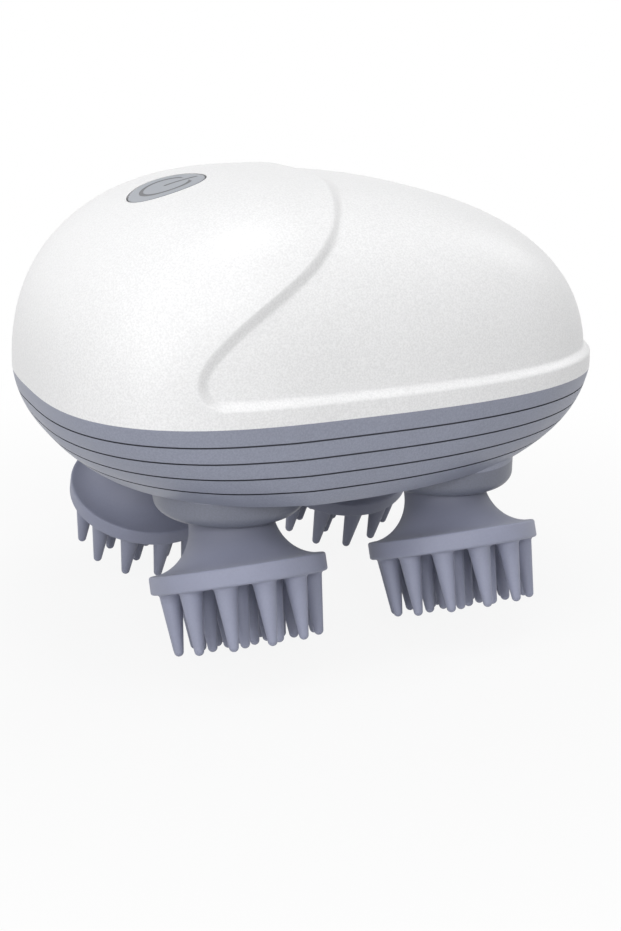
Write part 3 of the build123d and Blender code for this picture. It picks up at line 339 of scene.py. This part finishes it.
def silicone():
    """Soft matt silicone with a bloom of fine grain, and painted shade darkening the neck."""
    finish = Finish("silicone", SILICONE, 0.6, Sheen_Weight=0.12, Sheen_Roughness=0.5)
    fine = finish.noise(0.5, detail=3.0, roughness=0.6)
    cloud = finish.noise(9.0)
    _, across, height = finish.axes()
    lift = (height - DISC_Z) * cos(radians(HEAD_TILT)) - (abs(across) - DISC_Y) * sin(radians(HEAD_TILT))
    tone = fine.spread() * 0.4 + cloud.spread() * 0.6
    skin = finish.blend(tone, shade(SILICONE, 0.95), shade(SILICONE, 1.06))
    # painted shade on the neck, darker the higher it rises over the disc
    finish.colour(finish.blend(lift.ramp(*NECK_SHADE_RISE), skin, shade(SILICONE, NECK_PAINTED_SHADE)))
    finish.roughness(cloud.spread(0.54, 0.64) + fine.spread(-0.03, 0.03))
    finish.bump(fine, 0.012)
    return finish.material


def inner_plastic():
    """Charcoal structural plastic with a coarse mould grain."""
    return moulded("inner_plastic", CHARCOAL, 0.5, grain=0.5, depth=0.02, contrast=0.08).material


def dark_plastic():
    """The near-black moulding of components on a board."""
    return moulded("dark_plastic", COMPONENT_BLACK, 0.38, grain=0.3, depth=0.008, contrast=0.12).material


def gear_plastic():
    """Natural acetal: waxy and faintly clouded."""
    return moulded("gear_plastic", NATURAL_ACETAL, 0.32, grain=0.3, depth=0.006, contrast=0.03).material


def turned_metal(name, colour, roughness, size):
    """Bright metal with fine tool marks, dull patches and a faint bloom."""
    finish = Finish(name, colour, roughness, Metallic=1.0)
    squeezed = finish.node("ShaderNodeMapping", inputs={"Vector": finish.coordinates(),
                                                        "Scale": (1, 1, TOOL_MARKS)})["Vector"]
    marks = finish.noise(size, vector=squeezed)
    cloud = finish.noise(4.0, detail=3.0)
    finish.colour(finish.blend(cloud.spread(), shade(colour, 0.86), shade(colour, 1.08)))
    finish.roughness(marks.spread(roughness - 0.06, roughness + 0.06) + cloud.ramp(0.35, 0.7, 0.0, 0.12))
    finish.bump(marks, 0.006)
    return finish.material


def steel():
    """Machined steel of the shafts, screws and motor."""
    return turned_metal("steel", STEEL, 0.28, size=0.6)


def brass():
    """Brass of the worms, bushes and contacts."""
    return turned_metal("brass", BRASS, 0.26, size=0.5)


def chrome():
    """Bright plating on the magnets."""
    return turned_metal("chrome", CHROME, 0.16, size=0.8)


def seal_rubber():
    """Black rubber with a dusty bloom."""
    finish = Finish("seal_rubber", RUBBER_BLACK, 0.7)
    dust = finish.noise(1.2, detail=4.0, roughness=0.65)
    finish.colour(finish.blend(dust.ramp(0.45, 0.75), RUBBER_BLACK, shade(RUBBER_BLACK, 2.0)))
    finish.roughness(dust.spread(0.62, 0.8))
    finish.bump(dust, 0.02)
    return finish.material


def board():
    """Green lacquered glass-fibre board: a fine weave under the lacquer and paler copper tracks."""
    finish = Finish("board", LACQUER_GREEN, 0.35)
    x, y, _ = finish.axes()
    mesh = finish.node("ShaderNodeTexVoronoi", {"feature": "DISTANCE_TO_EDGE", "distance": "CHEBYCHEV"},
                       {"Vector": finish.coordinates(), "Scale": 1 / (BOARD_TRACKS * MM), "Randomness": 0.7})
    tracks = mesh["Distance"].ramp(*TRACK_EDGE, 1.0, 0.0)
    weave = (x * BOARD_WEAVE).wave() * (y * BOARD_WEAVE).wave()
    cloud = finish.noise(6.0)
    lacquer = finish.blend(cloud.spread(), LACQUER_GREEN, shade(LACQUER_GREEN, 1.4))
    finish.colour(finish.blend(tracks, lacquer, TRACK_GREEN))
    finish.roughness(cloud.spread(0.28, 0.42))
    finish.bump(tracks + weave * 0.1, 0.03)
    return finish.material


def cell():
    """A blue shrink sleeve that leaves bare metal in the middle of both ends of the cell."""
    finish = Finish("cell", SLEEVE_BLUE, 0.3)
    low, high = (np.array(corner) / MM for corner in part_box("battery_cell"))
    x, y, z = (distance - middle for distance, middle in zip(finish.axes(), (low + high) / 2))
    near_end = (abs(x) - ((high[0] - low[0]) / 2 - CELL_END)).ramp(0.0, SLEEVE_EDGE[0])
    bare = near_end * (y * y + z * z).root().ramp(CELL_LIP, CELL_LIP + SLEEVE_EDGE[1], 1.0, 0.0)
    cloud = finish.noise(8.0)
    sleeve = finish.blend(cloud.spread(), shade(SLEEVE_BLUE, 0.9), shade(SLEEVE_BLUE, 1.1))
    finish.colour(finish.blend(bare, sleeve, CELL_METAL))
    finish.metallic(bare)
    finish.roughness(cloud.spread(0.24, 0.36))
    finish.bump(finish.noise(1.5, detail=3.0), 0.02)
    return finish.material


NODE_FINISHES = {maker.__name__: maker for maker in (grey_shell, inner_plastic, dark_plastic, gear_plastic,
                                                     steel, brass, chrome, seal_rubber, board, cell)}


def finish_nodes(replaced):
    """Gives each CAD node that stays in view its slot's finish."""
    made = {}
    for subpart in frame["record"]["subparts"]:
        name, slot = subpart["node"], subpart["material_slot"]
        if name in replaced:
            continue
        if slot not in made:
            made[slot] = NODE_FINISHES[slot]()
        for place in frame["nodes"][name].material_slots:
            place.material = made[slot]


# ---- Surfaces --------------------------------------------------------------------------------------

def mesh_object(name, points, faces):
    """A piece from points in millimetres and blocks of faces."""
    data = bpy.data.meshes.new(name)
    data.from_pydata((points * MM).tolist(), [], [face for block in faces for face in block.tolist()])
    piece = bpy.data.objects.new(name, data)
    bpy.context.scene.collection.objects.link(piece)
    return piece


def dress(piece, finish, crease):
    """Gives a piece its finish, and smooth shading except across edges sharper than the crease angle."""
    piece.data.shade_smooth()
    piece.data.set_sharp_from_angle(angle=radians(crease))
    piece.data.materials.append(finish)


def tube_faces(rows, columns):
    """Four-sided faces of a grid that closes round its columns, and a fan at each end row.

    Vertex row * columns + column comes first, then the two poles. Rows climb and columns turn
    anticlockwise, so the faces point outwards."""
    row, column = np.meshgrid(np.arange(rows - 1), np.arange(columns), indexing="ij")
    following = (column + 1) % columns
    quads = np.stack([row * columns + column, row * columns + following,
                      (row + 1) * columns + following, (row + 1) * columns + column], -1)
    around = np.arange(columns)
    after = (around + 1) % columns
    low_pole, high_pole = rows * columns, rows * columns + 1
    last = (rows - 1) * columns
    low_fan = np.stack([np.full(columns, low_pole), after, around], -1)
    high_fan = np.stack([np.full(columns, high_pole), last + around, last + after], -1)
    return [quads.reshape(-1, 4), low_fan, high_fan]


def closed_tube(grid):
    """Points and faces of a grid (rows, columns, 3) whose end rows are closed at their middles."""
    rows, columns, _ = grid.shape
    poles = np.stack([grid[0].mean(0), grid[-1].mean(0)])
    return np.concatenate([grid.reshape(-1, 3), poles]), tube_faces(rows, columns)


def turned(profile, columns):
    """A profile of (radius, height) turned round +Z: x = radius cos a, y = radius sin a, z = height."""
    angle = np.linspace(0, 2 * pi, columns, endpoint=False)
    radius, height = np.asarray(profile, float).T
    return np.stack([radius[:, None] * np.cos(angle), radius[:, None] * np.sin(angle),
                     np.repeat(height[:, None], columns, 1)], -1)


def turned_about(points, angle):
    """Points turned about the Z axis: x cos a - y sin a, x sin a + y cos a."""
    x, y, z = points.T
    return np.stack([x * cos(angle) - y * sin(angle), x * sin(angle) + y * cos(angle), z], -1)


def joined(parts):
    """Several sets of points and faces as one."""
    points, faces, count = [], [], 0
    for part_points, part_faces in parts:
        points.append(part_points)
        faces.extend(block + count for block in part_faces)
        count += len(part_points)
    return np.concatenate(points), faces


def arc(centre, radius, start, end, steps):
    """Points along part of a circle, with angles in degrees: centre + radius (cos a, sin a)."""
    angles = np.radians(np.linspace(start, end, steps))
    return np.stack([centre[0] + radius * np.cos(angles), centre[1] + radius * np.sin(angles)], -1)


def smoothstep(share):
    """s s (3 - 2 s) of a share s held between 0 and 1."""
    share = np.clip(share, 0, 1)
    return share * share * (3 - 2 * share)


# ---- Hood and field --------------------------------------------------------------------------------
STEP_WIDTH = 2.0                # of the soft slope between the hood and the field
STEP_ON_HOOD = 0.4              # share of the slope on the hood's side of the step line
STEP_SAMPLES, CORNER_SAMPLES = 60, 14

# Rows of the dome from the seam up, closer at the ledge and towards the crest: each stretch's start and
# end, in degrees of rise, and its count.
DOME_ROWS = ((0.0, 3.0, 5), (3.0, 6.6, 16), (6.6, 60, 62), (60, 76, 24), (76, 87.5, 44), (87.5, 89.8, 8))
INNER_ROWS = (89.5, 0, 24)      # rows of the inner skin, from the crest down to the seam

# Columns round half the dome: over the field, across the step and over the hood. They never meet further
# out than this share of a row's reach.
FIELD_COLUMNS, STEP_COLUMNS, HOOD_COLUMNS = 96, 18, 62
STEP_REACH = 0.93

DRILL_HEIGHTS, DRILL_COLUMNS = (-3 * HOOD_WALL, HOOD_WALL), 128     # the tool for the button's hole
SHELL_CREASE = 50


def step_line():
    """The S-shaped step seen from the side: a cubic spline through the step points, vertical at both
    ends, then a quarter circle and the ledge. Points (x, z)."""
    ledge_z = SEAM_Z + LEDGE_HEIGHT
    knots = np.array(STEP_POINTS + ((STEP_NOSE_X, ledge_z + STEP_CORNER_RADIUS),))
    gaps = np.linalg.norm(np.diff(knots, axis=0), axis=1)
    place = np.concatenate([[0], np.cumsum(gaps)])
    count = len(knots)
    system, right = np.eye(count), np.zeros((count, 2))
    right[0] = right[-1] = (0, -1)
    for inner in range(1, count - 1):
        before, after = gaps[inner - 1], gaps[inner]
        system[inner, inner - 1:inner + 2] = (after, 2 * (before + after), before)
        right[inner] = 3 * (after / before * (knots[inner] - knots[inner - 1])
                            + before / after * (knots[inner + 1] - knots[inner]))
    slopes = np.linalg.solve(system, right)
    samples = np.linspace(0, place[-1], STEP_SAMPLES)
    span = np.clip(np.searchsorted(place, samples, "right") - 1, 0, count - 2)
    width = gaps[span][:, None]
    share = (samples - place[span])[:, None] / width
    curve = ((2 * share ** 3 - 3 * share ** 2 + 1) * knots[span]
             + (share ** 3 - 2 * share ** 2 + share) * width * slopes[span]
             + (-2 * share ** 3 + 3 * share ** 2) * knots[span + 1]
             + (share ** 3 - share ** 2) * width * slopes[span + 1])
    centre = (STEP_NOSE_X + STEP_CORNER_RADIUS, ledge_z + STEP_CORNER_RADIUS)
    corner = arc(centre, STEP_CORNER_RADIUS, 180, 270, CORNER_SAMPLES)[1:]
    return np.concatenate([curve, corner, [(TAIL_LENGTH, ledge_z)]])


def step_x_at(height):
    """Where the step line crosses each height."""
    rising = step_line()[:-1][::-1]
    return np.interp(height, rising[:, 1], rising[:, 0])


def depth_in_field(x, z):
    """How far a point lies inside the field behind the step, seen from the side: its distance from the
    nearest stretch of the step line, negative on the hood."""
    line = step_line()
    nearest = np.full(x.shape, np.inf)
    for start, span in zip(line[:-1], np.diff(line, axis=0)):
        share = np.clip(((x - start[0]) * span[0] + (z - start[1]) * span[1]) / (span @ span), 0, 1)
        away = np.hypot(x - start[0] - share * span[0], z - start[1] - share * span[1])
        nearest = np.minimum(nearest, away)
    inside = (x > step_x_at(z)) & (z > SEAM_Z + LEDGE_HEIGHT)
    return np.where(inside, nearest, -nearest)


def signed_power(value, exponent):
    """The power of a value's size, with the value's sign."""
    return np.sign(value) * np.abs(value) ** exponent


def dome_point(turn, rise, inset):
    """The dome's surface: x and y from a superellipse that shrinks as the height grows, by one curve
    in length and a squarer one in width, moved in by the inset. Angles in radians."""
    lift = np.sin(rise) ** (2 / DOME_EXPONENT)
    scale = np.cos(rise) ** (2 / DOME_EXPONENT)
    side_scale = (1 - lift ** DOME_SIDE_EXPONENT) ** (1 / DOME_SIDE_EXPONENT)
    reach = np.where(np.cos(turn) > 0, TAIL_LENGTH, NOSE_LENGTH) - inset
    along = signed_power(np.cos(turn), 2 / PLAN_EXPONENT)
    across = (HALF_WIDTH - inset) * side_scale * signed_power(np.sin(turn), 2 / PLAN_EXPONENT)
    height = np.broadcast_to(SEAM_Z + (DOME_HEIGHT - inset) * lift, across.shape)
    return np.stack([CREST_X + reach * scale * along, across, height], -1)


def dome_columns(rise):
    """Angles round each row of the dome, in radians: half the row in three stretches that meet on both
    sides of the step, then the same mirrored."""
    offset = step_x_at(SEAM_Z + DOME_HEIGHT * np.sin(rise) ** (2 / DOME_EXPONENT)) - CREST_X
    reach = np.where(offset > 0, TAIL_LENGTH, NOSE_LENGTH) * np.cos(rise) ** (2 / DOME_EXPONENT)

    def turn_at(shift):
        share = np.clip((offset + shift) / reach, -STEP_REACH, STEP_REACH)
        return np.arccos(signed_power(share, PLAN_EXPONENT / 2))

    near, far = turn_at(STEP_WIDTH), turn_at(-STEP_WIDTH)
    stretches = [(0 * near, near, FIELD_COLUMNS), (near, far, STEP_COLUMNS),
                 (far, 0 * far + pi, HOOD_COLUMNS)]
    angles = [start[:, None] + (end - start)[:, None] * np.linspace(0, 1, count, endpoint=False)
              for start, end, count in stretches]
    half = np.concatenate(angles + [np.full((len(rise), 1), pi)], 1)
    return np.concatenate([half, 2 * pi - half[:, -2:0:-1]], 1)


def dome_grid():
    """The shell's points in rows: the inner skin one wall in, from the crest down to the seam, then the
    outer skin back up, sunk by the recess depth inside the step line."""
    rise = np.radians(np.concatenate([np.linspace(start, end, count, endpoint=False)
                                      for start, end, count in DOME_ROWS] + [[DOME_ROWS[-1][1]]]))
    turn = dome_columns(rise)
    surface = dome_point(turn, rise[:, None], 0)
    sunk = smoothstep(depth_in_field(surface[..., 0], surface[..., 2]) / STEP_WIDTH + STEP_ON_HOOD)
    outer = dome_point(turn, rise[:, None], RECESS_DEPTH * sunk)
    inner_rise = np.radians(np.linspace(*INNER_ROWS))
    inner = dome_point(np.repeat(turn[:1], len(inner_rise), 0), inner_rise[:, None], HOOD_WALL)
    return np.concatenate([inner, outer])


def upper_shell():
    """The hood and the field in one shell, with a round hole for the button."""
    shell = mesh_object("upper_shell", *closed_tube(dome_grid()))
    profile = [(BUTTON_RADIUS + FIT_GAP, height) for height in DRILL_HEIGHTS]
    points, faces = closed_tube(turned(profile, DRILL_COLUMNS))
    drill = mesh_object("drill", on_button(points), faces)
    hole = shell.modifiers.new("button_hole", "BOOLEAN")
    hole.operation, hole.solver, hole.object = "DIFFERENCE", "EXACT", drill
    drilled = bpy.data.meshes.new_from_object(shell.evaluated_get(bpy.context.evaluated_depsgraph_get()))
    drilled.name = "upper_shell"
    shell.modifiers.clear()
    shell.data = drilled
    bpy.data.objects.remove(drill)
    dress(shell, white_shell(), SHELL_CREASE)
    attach(shell, "casing")
    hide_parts("upper_case")


# ---- Button ----------------------------------------------------------------------------------------
SYMBOL_RADIUS, SYMBOL_LINE, SYMBOL_GAP = 5.2, 0.85, 28      # the gap is half the ring's open angle
SYMBOL_BAR = (0.0, 6.6)                                     # its ends, from the button's middle
SYMBOL_AND_EDGE_SHADE, SYMBOL_BLUR, SYMBOL_DEPTH = 0.25, 0.08, 0.2   # how dark its lines and the painted shade round the cap's edge are, how soft-edged and deep its lines are
OUT_OF_REACH = 10.0                     # added to the distance from the ring where it is open
CAP_COLUMNS, CAP_EDGE_STEPS, CAP_CREASE = 96, 7, 40
CAP_RINGS, CAP_INNERMOST = 14, 0.3      # rings of the cap's face, and the radius of the smallest
SLOPE_SPAN = 1.0                        # length over which the hood's slope at the button is taken


def hood_height(x):
    """The height of the hood over its middle line: (1 - (distance from the crest / reach) ** n) ** (1 / n)
    of the dome's height, over the seam."""
    reach = np.where(x > CREST_X, TAIL_LENGTH, NOSE_LENGTH)
    share = (1 - (abs(x - CREST_X) / reach) ** DOME_EXPONENT) ** (1 / DOME_EXPONENT)
    return SEAM_Z + DOME_HEIGHT * share


BUTTON_SLOPE = atan2(hood_height(BUTTON_X + SLOPE_SPAN / 2) - hood_height(BUTTON_X - SLOPE_SPAN / 2),
                     SLOPE_SPAN)
BUTTON_PLACE = Vector((BUTTON_X, 0, float(hood_height(BUTTON_X))))


def hood_drop(along):
    """How far the hood lies over its tangent at the button, some way along that tangent: negative."""
    rise = hood_height(BUTTON_X + along * cos(BUTTON_SLOPE)) - hood_height(BUTTON_X)
    return (rise - along * sin(BUTTON_SLOPE)) * cos(BUTTON_SLOPE)


def on_button(points):
    """Points drawn about the button's axis, put in their place in the hood."""
    along = np.array([cos(BUTTON_SLOPE), 0, sin(BUTTON_SLOPE)])
    up = np.array([-sin(BUTTON_SLOPE), 0, cos(BUTTON_SLOPE)])
    return (np.array(BUTTON_PLACE) + points[..., :1] * along + points[..., 1:2] * np.array([0, 1, 0])
            + points[..., 2:] * up)


def button_plastic():
    """Satin grey plastic with a plain standby symbol sunk into it, a ring with a gap and a bar, and painted
    shade round its edge.
    """
    finish = moulded("button_plastic", BUTTON_GREY, 0.4, grain=0.35, depth=0.01, contrast=0.05)
    place = finish.node("ShaderNodeMapping", {"vector_type": "TEXTURE"},
                        {"Vector": finish.coordinates(), "Location": BUTTON_PLACE * MM,
                         "Rotation": (0, -BUTTON_SLOPE, 0)})["Vector"]
    along, across, _ = finish.axes(place)
    radius = (along * along + across * across).root()
    ring = abs(radius - SYMBOL_RADIUS) + (along > SYMBOL_RADIUS * cos(radians(SYMBOL_GAP))) * OUT_OF_REACH
    middle, half = sum(SYMBOL_BAR) / 2, (SYMBOL_BAR[1] - SYMBOL_BAR[0]) / 2
    past_bar = (abs(along - middle) - half).high(0.0)
    bar = (past_bar * past_bar + across * across).root()
    line = ring.low(bar).ramp(SYMBOL_LINE / 2 - SYMBOL_BLUR, SYMBOL_LINE / 2 + SYMBOL_BLUR, 1.0, 0.0)
    # painted shade round the cap's edge, in its gap to the hood
    edge = radius.ramp(BUTTON_RADIUS - BUTTON_EDGE, BUTTON_RADIUS)
    finish.colour(finish.blend(line.high(edge), finish.coloured(), shade(BUTTON_GREY, SYMBOL_AND_EDGE_SHADE)))
    fine = finish.noise(0.35, detail=3.0, roughness=0.6)
    finish.bump(fine * 0.05 - line, SYMBOL_DEPTH)
    return finish.material


def button():
    """The cap: a disc with a rounded edge on a stem, turned about its axis, whose face then drops by as
    much as the hood's curve falls below its tangent at the button."""
    top = -BUTTON_SINK
    inner = BUTTON_RADIUS - BUTTON_EDGE
    rounding = arc((inner, top - BUTTON_EDGE), BUTTON_EDGE, 0, 90, CAP_EDGE_STEPS)
    face = [(radius, top) for radius in np.linspace(inner, CAP_INNERMOST, CAP_RINGS)[1:]]
    profile = [(STEM_RADIUS, -STEM_END), (STEM_RADIUS, -BUTTON_THICKNESS), (BUTTON_RADIUS, -BUTTON_THICKNESS),
               *rounding, *face]
    points, faces = closed_tube(turned(profile, CAP_COLUMNS))
    along, _, height = points.T
    share = (height + BUTTON_THICKNESS) / (top + BUTTON_THICKNESS)
    points[:, 2] += np.clip(share, 0, 1) * hood_drop(along)
    cap = mesh_object("power_button", on_button(points), faces)
    dress(cap, button_plastic(), CAP_CREASE)
    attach(cap, "button")
    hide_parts("button_cap")


# ---- Massage heads ---------------------------------------------------------------------------------
NUB_TIP_STEPS, NUB_ROWS, NUB_COLUMNS = 6, 8, 24
NUB_TIP_START = -78                     # the angle at which the round tip starts, near its lowest point
NUB_CONE_TOP = -0.6                     # where the cone ends under the disc
NUB_ROOT = ((0.1, -0.3), (0.3, -0.08), (0.75, 0.02), (0.75, 0.4))   # how far out from the cone, and height
RIM_EDGE, RIM_STEPS = 0.5, 6            # radius of the rim's edges, and the points round each
UNDERSIDE_RINGS = (4.0, 12.0)           # radii of the flat rings under the disc
FLARE_STEPS, NECK_EDGE, DISC_COLUMNS = 26, 0.3, 128
HEAD_CREASE = 45


def on_head(points, end, side):
    """Points drawn about a head's axis, with z = 0 on the disc's nub side, put in their place."""
    lean = -side * sin(radians(HEAD_TILT))
    upright = cos(radians(HEAD_TILT))
    x, y, z = points.T
    return np.stack([GEAR_X + end * HEAD_SPACING / 2 + x, side * DISC_Y + y * upright + z * lean,
                     DISC_Z - y * lean + z * upright], -1)


def nub_points():
    """One nub under the disc: a cone that curves out at its root and ends in a round tip."""
    tip_z = -(NUB_LENGTH - NUB_TIP_RADIUS)
    tip = arc((0, tip_z), NUB_TIP_RADIUS, NUB_TIP_START, 0, NUB_TIP_STEPS)
    height = np.linspace(tip_z, NUB_CONE_TOP, NUB_ROWS)[1:]
    share = (height - tip_z) / -tip_z
    cone = np.stack([NUB_TIP_RADIUS + (NUB_BASE_RADIUS - NUB_TIP_RADIUS) * share, height], -1)
    root = np.array(NUB_ROOT) + (cone[-1, 0], 0)
    return closed_tube(turned(np.concatenate([tip, cone, root]), NUB_COLUMNS))


def disc_points():
    """The disc and its neck: a rim with rounded edges, then a hollow quarter ellipse up to the neck."""
    under = [(radius, 0.0) for radius in UNDERSIDE_RINGS]
    low_edge = arc((DISC_RADIUS - RIM_EDGE, RIM_EDGE), RIM_EDGE, -90, 0, RIM_STEPS)
    high_edge = arc((DISC_RADIUS - RIM_EDGE, RIM_HEIGHT - RIM_EDGE), RIM_EDGE, 0, 90, RIM_STEPS)
    angle = np.radians(np.linspace(90, 0, FLARE_STEPS))
    flare = np.stack([FLARE_RADIUS - (FLARE_RADIUS - NECK_RADIUS) * np.cos(angle),
                      FLARE_TOP - (FLARE_TOP - RIM_HEIGHT) * np.sin(angle)], -1)[1:]
    neck = [(NECK_RADIUS, NECK_TOP - NECK_EDGE), (NECK_RADIUS - NECK_EDGE, NECK_TOP)]
    return closed_tube(turned(np.concatenate([under, low_edge, high_edge, flare, neck]), DISC_COLUMNS))


def massage_heads():
    """Four heads, each the disc and three rings of nubs in one mesh."""
    finish = silicone()
    nub, nub_faces = nub_points()
    parts = [disc_points()]
    for radius, count, first in NUB_RINGS:
        for number in range(count):
            angle = radians(first + 360 * number / count)
            parts.append((turned_about(nub + (radius, 0, 0), angle), nub_faces))
    points, faces = joined(parts)
    for name, (end, side) in CORNERS.items():
        stand = turned_about(points, radians(HEAD_TURNS[name]))
        head = mesh_object("soft_head_" + name, on_head(stand, end, side), faces)
        dress(head, finish, HEAD_CREASE)
        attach(head, "head_" + name)
        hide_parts("massage_head_" + name)


# ---- Studio ----------------------------------------------------------------------------------------
AMBIENT = 0.27                      # strength of the white surround as a light
FLOOR_HALF = 6000.0
FLOOR_GREY, FLOOR_ROUGHNESS = (0.6, 0.6, 0.6), 0.9
FLOOR_GLOW = 0.9                    # share of plain white in the floor that is seen near the object
SHADOW_REACH = (60.0, 200.0)        # the floor turns plain white between these distances

# Each lamp's name, place and size in metres, and watts.
LAMPS = (("top", (0.0, -0.1, 1.3), 0.6, 5.3),
         ("left", (-1.0, -0.2, 0.8), 0.6, 2.0),
         ("low_left", (-0.95, -0.75, 0.25), 0.6, 4.2),
         ("front", (-0.2, -1.05, 0.7), 0.6, 4.3),
         ("right", (1.05, 0.1, 0.75), 0.6, 2.2),
         ("back", (-0.6, 1.1, 0.7), 1.4, 2.6))


def surround():
    """A world that shows as plain white and lights the object more softly."""
    bpy.context.scene.view_settings.view_transform = "Standard"
    world = bpy.data.worlds.new("studio")
    bpy.context.scene.world = world
    world.use_nodes = True
    nodes = Nodes(world.node_tree)
    background = world.node_tree.nodes["Background"]
    nodes.feed(background.inputs["Color"], (1, 1, 1))
    nodes.feed(background.inputs["Strength"], nodes.seen_directly() * (1 - AMBIENT) + AMBIENT)


def floor():
    """A pale floor that keeps the object's shadow and turns plain white a little way off."""
    cover = Finish("floor", FLOOR_GREY, FLOOR_ROUGHNESS)
    x, y, _ = cover.axes()
    share = (x * x + y * y).root().ramp(*SHADOW_REACH, FLOOR_GLOW, 1.0) * cover.seen_directly()
    plain = Value(cover, cover.shader.outputs[0])
    glow = cover.node("ShaderNodeEmission")["Emission"]
    mixed = cover.node("ShaderNodeMixShader", inputs={"Fac": share, 1: plain, 2: glow})["Shader"]
    cover.feed(cover.tree.nodes["Material Output"].inputs["Surface"], mixed)
    corners = np.array([(-1, -1, 0), (1, -1, 0), (1, 1, 0), (-1, 1, 0)]) * FLOOR_HALF
    plane = mesh_object("floor", corners, [np.array([[0, 1, 2, 3]])])
    plane.data.materials.append(cover.material)


def lamps():
    """Large soft lamps that all point at the object."""
    for name, place, size, power in LAMPS:
        lamp = bpy.data.lights.new(name, "AREA")
        lamp.shape, lamp.size, lamp.energy = "DISK", size, power
        holder = bpy.data.objects.new(name, lamp)
        holder.location = place
        holder.rotation_euler = (Vector(place) - VIEW_TARGET).to_track_quat("Z", "Y").to_euler()
        bpy.context.scene.collection.objects.link(holder)


place_camera()
upper_shell()
button()
massage_heads()
finish_nodes({"upper_case", "button_cap", *("massage_head_" + name for name in CORNERS)})
surround()
floor()
lamps()
